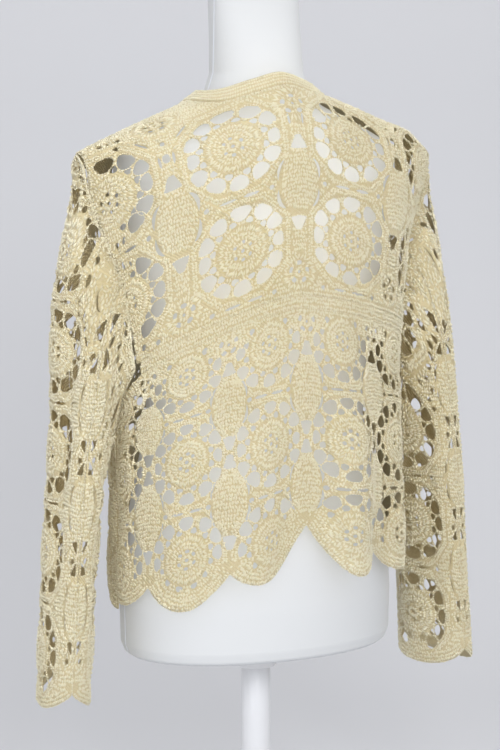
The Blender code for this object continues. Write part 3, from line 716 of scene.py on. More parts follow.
def openHoles(chart, outline, edgings):  # keeps the holes and stitches that lie within the piece
    def clear(points, margin):
        good = isInside(points, outline)
        for line, rows in edgings:
            good &= openDistance(points, line) > rows * 4.6 + margin
        return good

    keep = [clear(hole, 1.2).all() and distanceTo(hole, outline).min() > 2.2 for hole in chart["holes"]]
    chart["holes"] = [hole for hole, kept in zip(chart["holes"], keep) if kept]
    for hole in chart["spares"]:
        if clear(hole, 1.2).all() and distanceTo(hole, outline).min() > 2.2 and isFree(chart, hole):
            chart["holes"].append(hole)
    loops = []
    for loop in chart["loops"]:
        if clear(loop, 0.6).all() and distanceTo(loop, outline).min() > 1.6:
            loops.append(loop)
    chart["loops"] = loops
    starts, ends = np.vstack(chart["starts"]), np.vstack(chart["ends"])
    sizes = np.concatenate(chart["sizes"])
    middles = (starts + ends) / 2
    good = clear(middles, 0.4)
    starts, ends, sizes, middles = starts[good], ends[good], sizes[good], middles[good]
    free = np.ones(len(starts), bool)
    for hole in chart["holes"]:
        low, high = hole.min(axis=0) - 3, hole.max(axis=0) + 3
        near = np.flatnonzero(((middles > low) & (middles < high)).all(axis=1))
        if len(near):
            inHole = isInside(middles[near], hole)
            third = (starts[near] * 2 + ends[near]) / 3
            inHole |= isInside(third, hole) | isInside((starts[near] + ends[near] * 2) / 3, hole)
            free[near[inHole]] = False
    chart["starts"], chart["ends"], chart["sizes"] = [starts[free]], [ends[free]], [sizes[free]]
    for line, rows in edgings:
        addEdging(chart, line, rows, outline)


def openDistance(points, line):
    run = line[1:] - line[:-1]
    offset = points[:, None] - line[:-1]
    f = np.clip((offset * run).sum(-1) / np.maximum((run**2).sum(-1), 1e-9), 0, 1)
    return np.linalg.norm(offset - run * f[..., None], axis=-1).min(axis=1)


def addEdging(chart, line, rows, outline):  # rows of stitches that follow an edge
    run = np.concatenate([[0], np.cumsum(np.linalg.norm(np.diff(line, axis=0), axis=1))])
    count = max(2, round(run[-1] / lace["pitch"]))
    for row in range(rows):
        places = (np.arange(count) + 0.5 + 0.5 * (row % 2)) / (count + 0.5) * run[-1]
        at = np.stack([np.interp(places, run, line[:, k]) for k in (0, 1)], axis=-1)
        ahead = np.stack([np.interp(places + 1.5, run, line[:, k]) for k in (0, 1)], axis=-1)
        behind = np.stack([np.interp(places - 1.5, run, line[:, k]) for k in (0, 1)], axis=-1)
        along = ahead - behind
        across = np.stack([-along[:, 1], along[:, 0]], axis=-1)
        across /= np.maximum(np.linalg.norm(across, axis=1, keepdims=True), 1e-9)
        if isInside(at + across * 3, outline).mean() < 0.5:
            across = -across
        starts = at + across * (0.5 + row * 4.6)
        ends = at + across * (4.7 + row * 4.6)
        good = isInside(ends, outline)
        addStitches(chart, starts[good], ends[good])


# Meshes


def meshObject(name, points, triangles, material, uv=None):
    mesh = bpy.data.meshes.new(name)
    mesh.vertices.add(len(points))
    mesh.vertices.foreach_set("co", (np.asarray(points) * mm).ravel())
    mesh.loops.add(len(triangles) * 3)
    mesh.loops.foreach_set("vertex_index", np.asarray(triangles).ravel().astype(np.int32))
    mesh.polygons.add(len(triangles))
    mesh.polygons.foreach_set("loop_start", np.arange(len(triangles), dtype=np.int32) * 3)
    mesh.polygons.foreach_set("use_smooth", np.ones(len(triangles), bool))
    if uv is not None:
        layer = mesh.uv_layers.new(name="chart")
        layer.data.foreach_set("uv", uv[np.asarray(triangles).ravel()].ravel())
    mesh.update(calc_edges=True)
    mesh.validate()
    mesh.materials.append(material)
    made = bpy.data.objects.new(name, mesh)
    bpy.context.scene.collection.objects.link(made)
    return made


cloth = {
    "wall": 1.5,
    "spacing": 6.5,
    "discCrown": 1.6,
    "meshSink": 0.8,
    "bandHalf": 1.3,  # half the thickness of the neckband
    "bandRounds": 4,
    "tension": 0.42,  # how far rows wander
    # (along s and along h in radians per millimetre, phase, height) of the cloth's slow waves
    "waves": ((0.021, 0.013, 0.4, 0.9), (-0.012, 0.027, 2.1, 0.7), (0.047, -0.031, 4.4, 0.45)),
}


def clothRelief(points, chart):  # how far the lace stands off its smooth form
    relief = np.zeros(len(points))
    for alongS, alongH, phase, height in cloth["waves"]:
        relief += height * np.sin(points[:, 0] * alongS + points[:, 1] * alongH + phase)
    for middle in chart["wheels"]:
        reach = np.hypot((points[:, 0] - middle[0]) / chart["wide"], points[:, 1] - middle[1])
        relief += cloth["discCrown"] * np.exp(-((reach / 21) ** 2))
        relief -= cloth["meshSink"] * np.exp(-(((reach - 40) / 6) ** 2))
    for middle, halfWidth, halfHeight in chart["leaves"]:
        offset = (points - middle) / (halfWidth, halfHeight)
        relief += 2.4 * np.exp(-1.4 * (offset**2).sum(axis=1))
    return relief


def outwardNormals(surface, points, places, axisX):
    normal = surfaceNormals(surface, points)
    away = places - np.stack([axisX(places), np.zeros(len(places)), places[:, 2]], axis=-1)
    sign = np.sign((normal * away).sum(axis=1).mean())
    return normal * sign


def triangulateLace(outline, holes, spacing):
    loops = [outline] + holes
    points = np.vstack(loops)
    edges, start = [], 0
    for loop in loops:
        edges += [(start + i, start + (i + 1) % len(loop)) for i in range(len(loop))]
        start += len(loop)
    low, high = outline.min(axis=0), outline.max(axis=0)
    columns = np.arange(low[0] + spacing / 2, high[0], spacing)
    rows = np.arange(low[1] + spacing / 2, high[1], spacing)
    grid = np.stack(np.meshgrid(columns, rows), axis=-1).reshape(-1, 2)
    grid = grid[isInside(grid, outline)]
    grid = grid[distanceTo(grid, outline) > spacing * 0.35]
    free = np.ones(len(grid), bool)
    for hole in holes:
        lowHole, highHole = hole.min(axis=0) - 2, hole.max(axis=0) + 2
        near = np.flatnonzero(((grid > lowHole) & (grid < highHole)).all(axis=1))
        if len(near):
            free[near[isInside(grid[near], hole) | (distanceTo(grid[near], hole) < 1.6)]] = False
    flat = np.vstack([points, grid[free]])
    found = geometry.delaunay_2d_cdt([Vector(p) for p in flat], edges, [], 1, 1e-4)
    flat, triangles = np.array(found[0]), np.array(found[2])
    middles = flat[triangles].mean(axis=1)
    keep = np.ones(len(triangles), bool)
    for hole in holes:
        lowHole, highHole = hole.min(axis=0), hole.max(axis=0)
        near = np.flatnonzero(((middles > lowHole) & (middles < highHole)).all(axis=1))
        if len(near):
            keep[near[isInside(middles[near], hole)]] = False
    triangles = triangles[keep]
    used, renumbered = np.unique(triangles, return_inverse=True)
    return flat[used], renumbered.reshape(-1, 3)


def clothShell(name, outline, chart, surface, axisX, material):
    flat, triangles = triangulateLace(outline, chart["holes"], cloth["spacing"])
    middle = surface(flat)
    normal = outwardNormals(surface, flat, middle, axisX)
    middle = middle + normal * clothRelief(flat, chart)[:, None]
    half = cloth["wall"] / 2
    points = np.vstack([middle + normal * half, middle - normal * half])
    a, b, c = middle[triangles[0]]
    if np.dot(np.cross(b - a, c - a), normal[triangles[0][0]]) < 0:
        triangles = triangles[:, ::-1]
    count = len(flat)
    sides = np.vstack([triangles[:, [0, 1]], triangles[:, [1, 2]], triangles[:, [2, 0]]])
    keys = sides[:, 0] * count + sides[:, 1]
    isOpen = ~np.isin(sides[:, 1] * count + sides[:, 0], keys)
    a, b = sides[isOpen].T
    rim = np.vstack([np.stack([b, a, a + count], axis=-1), np.stack([b, a + count, b + count], axis=-1)])
    faces = np.vstack([triangles, triangles[:, ::-1] + count, rim])
    return meshObject(name, points, faces, material, uv=np.vstack([flat, flat]) * 0.1)


def plumpGrains(starts, ends, normals, lifts, sizes, sides=5):  # a strand of yarn, thickest at its middle
    count = len(starts)
    along = ends - starts
    length = np.linalg.norm(along, axis=1, keepdims=True)
    side = np.cross(normals, along / np.maximum(length, 1e-6))
    angles = (np.arange(sides) + 0.25) * 2 * math.pi / sides
    low = normals * (lifts - sizes * 0.5)[:, None]
    centre = (starts + ends) / 2 + normals * lifts[:, None]
    columns = [starts + low, ends + low]
    for angle in angles:
        out = side * (math.cos(angle) * sizes)[:, None]
        columns.append(centre + out + normals * (math.sin(angle) * sizes * 0.9)[:, None])
    points = np.stack(columns, axis=1)
    faces = []
    for i in range(sides):
        a, b = 2 + i, 2 + (i + 1) % sides
        faces += [(0, b, a), (1, a, b)]
    faces = np.array(faces)[None] + (np.arange(count) * (2 + sides))[:, None, None]
    around = np.concatenate([[0, 0], angles]) / (2 * math.pi) * 4
    lengthwise = np.concatenate([[0, 1], np.full(sides, 0.5)])
    uv = np.stack(np.broadcast_arrays(around[None], lengthwise[None] * length * 0.5), axis=-1)
    return points.reshape(-1, 3), faces.reshape(-1, 3), uv.reshape(-1, 2)


def handTension(points):  # rows wander a little, as crochet is never quite even
    x, y = points[:, 0], points[:, 1]
    across = np.sin(x * 0.31 + y * 0.47 + 0.6) + np.sin(y * 0.73 - x * 0.19)
    along = np.sin(x * 0.53 - y * 0.29 + 2.1) + np.sin(x * 0.23 + y * 0.61 + 4.0)
    return np.stack([across, along], axis=-1) * cloth["tension"]


def stitchMesh(chart, surface, axisX):
    starts, ends = np.vstack(chart["starts"]), np.vstack(chart["ends"])
    sizes = np.concatenate(chart["sizes"])
    count = len(starts)
    run = ends - starts
    lean = 0.26 * (1 - 2 * (np.arange(count) % 2))
    turn = (lean + random.normal(0, 0.3, count))[:, None]
    turned = run * np.cos(turn) + run[:, ::-1] * (-1, 1) * np.sin(turn)
    run = turned * random.uniform(1.0, 1.3, (count, 1))
    middles = (starts + ends) / 2
    middles = middles + random.normal(0, 0.35, (count, 2)) + handTension(middles)
    starts, ends = middles - run / 2, middles + run / 2
    sizes = sizes * random.uniform(0.8, 1.15, count)
    normal = outwardNormals(surface, middles, surface(middles), axisX)
    lift = clothRelief(middles, chart) + cloth["wall"] / 2 + sizes * 0.25
    lift = lift + random.uniform(-0.3, 0.5, count)
    return plumpGrains(surface(starts), surface(ends), normal, lift, sizes)


def chainMesh(tracks, chart, surface, axisX, isClosed):  # chain stitches round holes and along edges
    starts, ends = [], []
    for track in tracks:
        path = np.vstack([track, track[:1]]) if isClosed else track
        run = np.concatenate([[0], np.cumsum(np.linalg.norm(np.diff(path, axis=0), axis=1))])
        count = max(6, round(run[-1] / lace["chainPitch"]))
        places = (np.arange(count) + random.uniform(0, 1)) / count * run[-1]
        for line, offset in ((starts, 0.0), (ends, 1.25)):
            at = places + offset * run[-1] / count
            at = at % run[-1] if isClosed else np.minimum(at, run[-1])
            line.append(np.stack([np.interp(at, run, path[:, k]) for k in (0, 1)], axis=-1))
    starts, ends = np.vstack(starts), np.vstack(ends)
    drift = random.normal(0, 0.22, starts.shape)
    starts, ends = starts + drift, ends + drift
    middles = (starts + ends) / 2
    sizes = lace["yarnRadius"] * random.uniform(0.85, 1.2, len(starts))
    normal = outwardNormals(surface, middles, surface(middles), axisX)
    lift = clothRelief(middles, chart) + 0.35 + random.uniform(-0.3, 0.4, len(starts))
    return plumpGrains(surface(starts), surface(ends), normal, lift, sizes)


def joinedMesh(name, parts, material):
    points, faces, uvs, start = [], [], [], 0
    for partPoints, partFaces, partUv in parts:
        points.append(partPoints)
        faces.append(partFaces + start)
        uvs.append(partUv)
        start += len(partPoints)
    return meshObject(name, np.vstack(points), np.vstack(faces), material, uv=np.vstack(uvs))


# Materials


def newGroup(name, inputs, outputs):
    group = bpy.data.node_groups.new(name, "ShaderNodeTree")
    for label, kind, value in inputs:
        socket = group.interface.new_socket(label, in_out="INPUT", socket_type=kind)
        socket.default_value = value
    for label, kind in outputs:
        group.interface.new_socket(label, in_out="OUTPUT", socket_type=kind)
    into = group.nodes.new("NodeGroupInput")
    out = group.nodes.new("NodeGroupOutput")
    return group, into, out


def noiseNode(tree, vector, scale, detail=3.0, roughness=0.5):
    node = tree.nodes.new("ShaderNodeTexNoise")
    node.inputs["Scale"].default_value = scale
    node.inputs["Detail"].default_value = detail
    node.inputs["Roughness"].default_value = roughness
    tree.links.new(vector, node.inputs["Vector"])
    return node.outputs["Fac"]


def mathNode(tree, operation, a, b):
    node = tree.nodes.new("ShaderNodeMath")
    node.operation = operation
    for socket, value in zip(node.inputs, (a, b)):
        if isinstance(value, (int, float)):
            socket.default_value = value
        else:
            tree.links.new(value, socket)
    return node.outputs[0]


def mixColours(tree, factor, a, b):
    node = tree.nodes.new("ShaderNodeMix")
    node.data_type = "RGBA"
    tree.links.new(factor, node.inputs["Factor"])
    for socket, value in ((node.inputs[6], a), (node.inputs[7], b)):
        if isinstance(value, tuple):
            socket.default_value = value
        else:
            tree.links.new(value, socket)
    return node.outputs[2]


def buildCottonGroup():  # uneven dyeing, soft soiling and the yarn's twist and fuzz
    inputs = (
        ("Light", "NodeSocketColor", (0.8, 0.7, 0.47, 1)),
        ("Deep", "NodeSocketColor", (0.6, 0.48, 0.27, 1)),
        ("Twist", "NodeSocketFloat", 1.0),
        ("Fuzz", "NodeSocketFloat", 1.0),
    )
    group, into, out = newGroup("cottonYarn", inputs, (("Colour", "NodeSocketColor"), ("Height", "NodeSocketFloat")))
    coordinates = group.nodes.new("ShaderNodeTexCoord")
    place = coordinates.outputs["Object"]
    broad = noiseNode(group, place, 9.0)
    fine = noiseNode(group, place, 420.0)
    mixed = mathNode(group, "ADD", mathNode(group, "MULTIPLY", broad, 0.55), mathNode(group, "MULTIPLY", fine, 0.6))
    contrast = mathNode(group, "MULTIPLY", mathNode(group, "SUBTRACT", mixed, 0.4), 2.4)
    clamped = group.nodes.new("ShaderNodeClamp")
    group.links.new(contrast, clamped.inputs["Value"])
    colour = mixColours(group, clamped.outputs["Result"], (0, 0, 0, 1), (0, 0, 0, 1))
    mixing = colour.node
    group.links.new(into.outputs["Deep"], mixing.inputs[6])
    group.links.new(into.outputs["Light"], mixing.inputs[7])
    wave = group.nodes.new("ShaderNodeTexWave")
    wave.bands_direction = "DIAGONAL"
    wave.inputs["Scale"].default_value = 1.6
    wave.inputs["Distortion"].default_value = 0.6
    group.links.new(coordinates.outputs["UV"], wave.inputs["Vector"])
    fuzz = noiseNode(group, place, 1900.0, detail=2.0)
    twisted = mathNode(group, "MULTIPLY", wave.outputs["Fac"], into.outputs["Twist"])
    fuzzy = mathNode(group, "MULTIPLY", fuzz, into.outputs["Fuzz"])
    group.links.new(colour, out.inputs["Colour"])
    group.links.new(mathNode(group, "ADD", twisted, fuzzy), out.inputs["Height"])
    return group


def buildMottleGroup():  # soft unevenness of a cover or a coat of paint
    inputs = (
        ("Base", "NodeSocketColor", (0.8, 0.8, 0.8, 1)),
        ("Worn", "NodeSocketColor", (0.7, 0.7, 0.7, 1)),
        ("Grain", "NodeSocketFloat", 900.0),
        ("Roughness", "NodeSocketFloat", 0.5),
    )
    outputs = (("Colour", "NodeSocketColor"), ("Roughness", "NodeSocketFloat"), ("Height", "NodeSocketFloat"))
    group, into, out = newGroup("softMottle", inputs, outputs)
    place = group.nodes.new("ShaderNodeTexCoord").outputs["Object"]
    broad = noiseNode(group, place, 6.0)
    colour = mixColours(group, broad, (0, 0, 0, 1), (0, 0, 0, 1))
    group.links.new(into.outputs["Base"], colour.node.inputs[6])
    group.links.new(into.outputs["Worn"], colour.node.inputs[7])
    grain = group.nodes.new("ShaderNodeTexNoise")
    group.links.new(place, grain.inputs["Vector"])
    group.links.new(into.outputs["Grain"], grain.inputs["Scale"])
    group.links.new(colour, out.inputs["Colour"])
    rough = mathNode(group, "ADD", mathNode(group, "MULTIPLY", broad, 0.12), into.outputs["Roughness"])
    group.links.new(rough, out.inputs["Roughness"])
    group.links.new(grain.outputs["Fac"], out.inputs["Height"])
    return group


cottonGroup = buildCottonGroup()
mottleGroup = buildMottleGroup()


def newMaterial(name, group, values, bumpDistance, bumpStrength, roughness, sheen):
    material = bpy.data.materials.new(name)
    material.use_nodes = True
    tree = material.node_tree
    shader = tree.nodes["Principled BSDF"]
    effect = tree.nodes.new("ShaderNodeGroup")
    effect.node_tree = group
    for label, value in values.items():
        effect.inputs[label].default_value = value
    tree.links.new(effect.outputs["Colour"], shader.inputs["Base Color"])
    if "Roughness" in effect.outputs:
        tree.links.new(effect.outputs["Roughness"], shader.inputs["Roughness"])
    else:
        shader.inputs["Roughness"].default_value = roughness
    shader.inputs["Sheen Weight"].default_value = sheen
    shader.inputs["Sheen Roughness"].default_value = 0.5
    bump = tree.nodes.new("ShaderNodeBump")
    bump.inputs["Distance"].default_value = bumpDistance
    bump.inputs["Strength"].default_value = bumpStrength
    tree.links.new(effect.outputs["Height"], bump.inputs["Height"])
    tree.links.new(bump.outputs["Normal"], shader.inputs["Normal"])
    return material


cottonToneAndShade = {
    "stitchLight": (0.885, 0.85, 0.68, 1),
    "stitchDeep": (0.80, 0.745, 0.535, 1),
    # the backing's two colours are darker and browner than the stitches': painted shade in the gaps between the
    # stitches and on the cloth's inner side
    "backShadeLight": (0.765, 0.685, 0.445, 1),
    "backShadeDeep": (0.65, 0.55, 0.31, 1),
}
stitchCotton = newMaterial(
    "stitchCotton",
    cottonGroup,
    {"Light": cottonToneAndShade["stitchLight"], "Deep": cottonToneAndShade["stitchDeep"], "Twist": 0.6, "Fuzz": 0.8},
    bumpDistance=0.0005,
    bumpStrength=0.6,
    roughness=0.85,
    sheen=0.25,
)
# the sheet under the stitches, coloured darker and browner as painted shade between the stitches and inside the
# cloth
backingCotton = newMaterial(
    "backingCotton",
    cottonGroup,
    {"Light": cottonToneAndShade["backShadeLight"], "Deep": cottonToneAndShade["backShadeDeep"], "Twist": 0.8, "Fuzz": 1.0},
    bumpDistance=0.0012,
    bumpStrength=0.9,
    roughness=0.9,
    sheen=0.2,
)
formJersey = newMaterial(
    "formJersey",
    mottleGroup,
    {"Base": (0.645, 0.66, 0.675, 1), "Worn": (0.62, 0.635, 0.65, 1), "Grain": 1500.0, "Roughness": 0.75},
    bumpDistance=0.0003,
    bumpStrength=0.35,
    roughness=0.8,
    sheen=0.15,
)
seamThread = newMaterial(
    "seamThread",
    mottleGroup,
    {"Base": (0.74, 0.76, 0.82, 1), "Worn": (0.70, 0.72, 0.78, 1), "Grain": 2500.0, "Roughness": 0.7},
    bumpDistance=0.0002,
    bumpStrength=0.5,
    roughness=0.8,
    sheen=0.0,
)
standPaint = newMaterial(
    "standPaint",
    mottleGroup,
    {"Base": (0.82, 0.82, 0.83, 1), "Worn": (0.76, 0.76, 0.77, 1), "Grain": 420.0, "Roughness": 0.28},
    bumpDistance=0.0001,
    bumpStrength=0.4,
    roughness=0.4,
    sheen=0.0,
)
print("materials made")

# Cardigan pieces


def flatAxis(places):
    return np.zeros(len(places))


def sleeveAxis(side):
    rows = [(row[0], row[1]) for row in sleeve["sections"]]
    return lambda places: smoothTable(places[:, 2], rows) * side


def finishPiece(name, node, outline, chart, surface, axisX, edgings, lines=()):
    addGround(chart, outline)
    openHoles(chart, outline, edgings)
    shell = clothShell(name, outline, chart, surface, axisX, backingCotton)
    parts = [stitchMesh(chart, surface, axisX)]
    if chart["loops"]:
        parts.append(chainMesh(chart["loops"], chart, surface, axisX, True))
    if lines:
        parts.append(chainMesh(lines, chart, surface, axisX, False))
    stitches = joinedMesh(name + "Stitches", parts, stitchCotton)
    for piece in (shell, stitches):
        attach(piece, "root")
    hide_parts(node)
    print(name, len(chart["holes"]), "holes", len(shell.data.polygons), len(stitches.data.polygons))


def seamStations(h):
    s = np.linspace(-body["seamReach"], body["seamReach"], 37)
    return np.stack([s, np.full_like(s, h)], axis=-1)


def makeYoke():
    left, _ = armholeLine(1, False, 7.0)
    right, _ = armholeLine(-1, False, 7.0)
    bottom = -body["seamBandHalf"] - seamGap
    left, right = left[left[:, 1] < bottom - 4], right[right[:, 1] < bottom - 4]
    neck = neckLine(body["bandWidth"] + seamGap, 48)
    shoulder = np.linspace(body["shoulderReach"], body["neckHalfWidth"] + body["bandWidth"] + seamGap, 19)
    ridge = np.stack([shoulder, ridgeH(shoulder, False) + seamGap / 2], axis=-1)
    mirrored = ridge[::-1] * (-1, 1)
    mirrored[:, 1] = ridgeH(mirrored[:, 0], False) + seamGap / 2
    corner = body["armholeCorner"] + seamGap * 5
    seam = np.vstack([(-corner, bottom), seamStations(bottom), (corner, bottom)])
    outline = closedOutline(seam, left[::-1], ridge, neck, mirrored, right)
    pitch, rows = lace["yokePitch"], lace["yokeRows"]
    wheels = [(pitch * k, row) for k in (-1.5, -0.5, 0.5, 1.5) for row in rows]
    chart = newChart(wheels, lace["yokeWide"], 59.0, 56.7)
    for middle in wheels:
        addWheel(chart, middle)
        addBandSlits(chart, (middle[0], middle[1] + 57.5), 13.5, 22, 37.5)
        if middle[1] == rows[0]:
            for side in (-1, 1):
                addSlit(chart, (middle[0] + side * 46.5, middle[1] - 45.0), 23, 3.4, turn=side * 0.8)
                addSlit(chart, (middle[0] + side * 62.0, middle[1] - 14.0), 16, 3.0, turn=side * 1.5)
    for k in (-1, 0, 1):
        addLeaf(chart, (pitch * k, sum(rows) / 2), lace["leafHalf"][0] * 1.05)
        addFan(chart, (pitch * k, -33.0))
        shoulderFan = -262.0 if k else -222.0
        addFan(chart, (pitch * k, shoulderFan), 24.0)
        if k:
            addHole(chart, roundedHole((pitch * k, -206.0), 10.0, 12.0, 0.2, sides=8))
            addHole(chart, roundedHole((pitch * k, -226.0), 6.0, 7.0, 0.0, sides=7), edged=False)
    addSpares(chart, left, 42.0)
    addSpares(chart, right, 42.0)
    edgings = [(left, 1), (right, 1), (neck, 1), (seamStations(bottom), 1), (ridge, 1), (mirrored, 1)]
    finishPiece("yoke", "back_yoke", outline, chart, backSurface, flatAxis, edgings, (left, right))


def makeLowerBack():
    _, left = armholeLine(1, False, 7.0)
    _, right = armholeLine(-1, False, 7.0)
    top = body["seamBandHalf"] + seamGap
    side = body["halfWidth"] - seamGap / 2
    left, right = left + (0, body["underarmGap"]), right + (0, body["underarmGap"])
    left, right = left[left[:, 1] > top + 2], right[right[:, 1] > top + 2]
    left[-1, 0], right[-1, 0] = side, -side
    hem = hemLine(-side, side, False, 3.0)
    leftSide, rightSide = straightLine(left[-1], hem[-1], 8.0), straightLine(hem[0], right[-1], 8.0)
    outline = closedOutline(seamStations(top), left, leftSide, hem[::-1], rightSide, right[::-1])
    pitch, offset, rows = lace["bodyPitch"], lace["bodyOffset"], lace["bodyRows"]
    wheels = [(offset + pitch * k, row) for k in (-1.5, -0.5, 0.5, 1.5, 2.5) for row in rows]
    chart = newChart(wheels, lace["bodyWide"], 48.0, 55.7, lace["bodyOpenness"])
    for middle in wheels:
        addWheel(chart, middle)
        addBandSlits(chart, (middle[0], middle[1] + 56.5), 10.5, 17, 25)
    for k in (-2, -1, 0, 1, 2):
        for upper, lower in zip(rows, rows[1:]):
            addLeaf(chart, (offset + pitch * k, (upper + lower) / 2), lace["leafHalf"][0] * 0.88)
        addFan(chart, (offset + pitch * k, 22.0), 19.0)
    edgings = [(hem, 3), (seamStations(top), 1), (left, 1), (right, 1), (leftSide, 1), (rightSide, 1)]
    finishPiece("lowerBack", "back_body", outline, chart, backSurface, flatAxis, edgings, (hem,))


def makeSeamBand():
    half = body["seamBandHalf"]
    outline = closedOutline(seamStations(-half), seamStations(half)[::-1])
    chart = newChart([], 1.0, 50.0, 50.0)
    joins = (seamStations(-half), seamStations(half))
    edgings = [(join, 1) for join in joins]
    finishPiece("yokeSeamBand", "yoke_seam_band", outline, chart, backSurface, flatAxis, edgings, joins)


def makeFront(name, node, side):
    upper, under = armholeLine(side, True, 7.0)
    under = under + (0, body["underarmGap"])
    edge = frontLine(body["bandWidth"] + seamGap, side, 40)
    neckSide = body["neckHalfWidth"] + body["bandWidth"] + seamGap
    shoulder = np.linspace(neckSide, body["shoulderReach"], 19) * side
    ridge = np.stack([shoulder, ridgeH(shoulder, True) + seamGap / 2], axis=-1)
    last = (body["halfWidth"] - seamGap / 2) * side
    under[-1, 0] = last
    hem = hemLine(last, edge[-1, 0], True, 3.0)
    sideLine, lowEdge = straightLine(under[-1], hem[0], 8.0), straightLine(hem[-1], edge[-1], 8.0)
    outline = closedOutline(ridge, upper, under[1:], sideLine, hem, lowEdge, edge[::-1])
    columns, rows = lace["frontColumns"], lace["frontRows"]
    wheels = [(column * side, row) for column in columns for row in rows]
    chart = newChart(wheels, 1.0, 41.0, 55.2)
    for middle in wheels:
        addWheel(chart, middle)
        addBandSlits(chart, (middle[0], middle[1] + 56.0), 10, 16, 24)
    between = [(low + high) / 2 for low, high in zip(rows, rows[1:])]
    apart = lace["frontPitch"] / 2
    for column in (columns[0] - apart, sum(columns) / 2, columns[1] + apart):
        for row in between:
            addLeaf(chart, (column * side, row), lace["leafHalf"][0] * 0.62)
    addSpares(chart, upper, 30.0)
    edgings = [(hem, 3), (upper, 2), (under, 1), (edge, 1), (ridge, 1), (sideLine, 1)]
    finishPiece(name, node, outline, chart, frontSurface, flatAxis, edgings, (hem,))


def bandTrack(offset):
    before = [frontLine(offset, side, 40) for side in (1, -1)]
    return before, neckLine(offset, 48)


def makeNeckband():  # one strip round the neck and down both fronts
    width, rounds = body["bandWidth"], cloth["bandRounds"]
    tracks = [bandTrack(offset) for offset in np.linspace(0, width, rounds + 1)]
    strips = []
    for way, flip in ((0, True), (1, False)):
        grid = np.stack([frontSurface(before[way]) for before, _ in tracks], axis=1)
        strips.append(grid[::-1] if flip else grid)
    back = np.stack([backSurface(neck) for _, neck in tracks], axis=1)
    grid = np.concatenate([strips[0], back[1:-1], strips[1]])
    along = np.gradient(grid, axis=0)
    across = np.gradient(grid, axis=1)
    normal = np.cross(across, along)
    normal /= np.maximum(np.linalg.norm(normal, axis=2, keepdims=True), 1e-9)
    centre = np.array([0, 0, body["nape"] - 60])
    if (normal * (grid - centre)).sum(axis=2).mean() < 0:
        normal = -normal
    half = cloth["bandHalf"]
    top, low = grid + normal * half, grid - normal * half
    stripRows, stripColumns = grid.shape[:2]
    total = stripRows * stripColumns
    index = np.arange(total).reshape(stripRows, stripColumns)
    a, b, c, d = index[:-1, :-1], index[1:, :-1], index[1:, 1:], index[:-1, 1:]
    quads = np.stack([a, b, c, d], axis=-1).reshape(-1, 4)
    upper = np.vstack([quads[:, [0, 1, 2]], quads[:, [0, 2, 3]]])
    lower = upper[:, ::-1] + total
    rim = np.concatenate([index[:, 0], index[-1, 1:], index[::-1, -1][1:], index[0, ::-1][1:-1]])
    nextRim = np.roll(rim, -1)
    walls = [np.stack([rim, rim + total, nextRim + total], axis=-1)]
    walls.append(np.stack([rim, nextRim + total, nextRim], axis=-1))
    points = np.vstack([top.reshape(-1, 3), low.reshape(-1, 3)])
    faces = np.vstack([upper, lower, *walls])
    shell = meshObject("frontBand", points, faces, backingCotton, uv=points[:, [0, 2]] * 0.1)
    faceOut(shell)
    run = np.concatenate([[0], np.cumsum(np.linalg.norm(np.diff(grid[:, 2], axis=0), axis=1))])
    count = round(run[-1] / (lace["pitch"] * 0.95))
    starts, ends, outward = [], [], []
    for row in range(rounds):
        places = (np.arange(count) + 0.5 * (row % 2) + 0.3) / (count + 1) * run[-1]
        for line, share in ((starts, 0.06), (ends, 0.94)):
            edge = (row + share) / rounds * (stripColumns - 1)
            column = int(min(edge, stripColumns - 2))
            f = edge - column
            path = grid[:, column] * (1 - f) + grid[:, column + 1] * f
            line.append(np.stack([np.interp(places, run, path[:, k]) for k in range(3)], axis=-1))
        outward.append(np.stack([np.interp(places, run, normal[:, 2, k]) for k in range(3)], axis=-1))
    starts, ends, outward = np.vstack(starts), np.vstack(ends), np.vstack(outward)
    outward /= np.linalg.norm(outward, axis=1, keepdims=True)
    jitter = random.normal(0, 0.25, starts.shape)
    sizes = lace["stitchRadius"] * random.uniform(0.85, 1.2, len(starts))
    heights = half + sizes * 0.2 + random.uniform(-0.2, 0.4, len(starts))
    parts = [plumpGrains(starts + jitter, ends - jitter, outward, heights, sizes)]
    stitches = joinedMesh("frontBandStitches", parts, stitchCotton)
    for piece in (shell, stitches):
        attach(piece, "root")
    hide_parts("neckband")
    print("neckband", len(shell.data.polygons), len(stitches.data.polygons))


def faceOut(made):
    work = bmesh.new()
    work.from_mesh(made.data)
    bmesh.ops.recalc_face_normals(work, faces=work.faces)
    work.to_mesh(made.data)
    work.free()


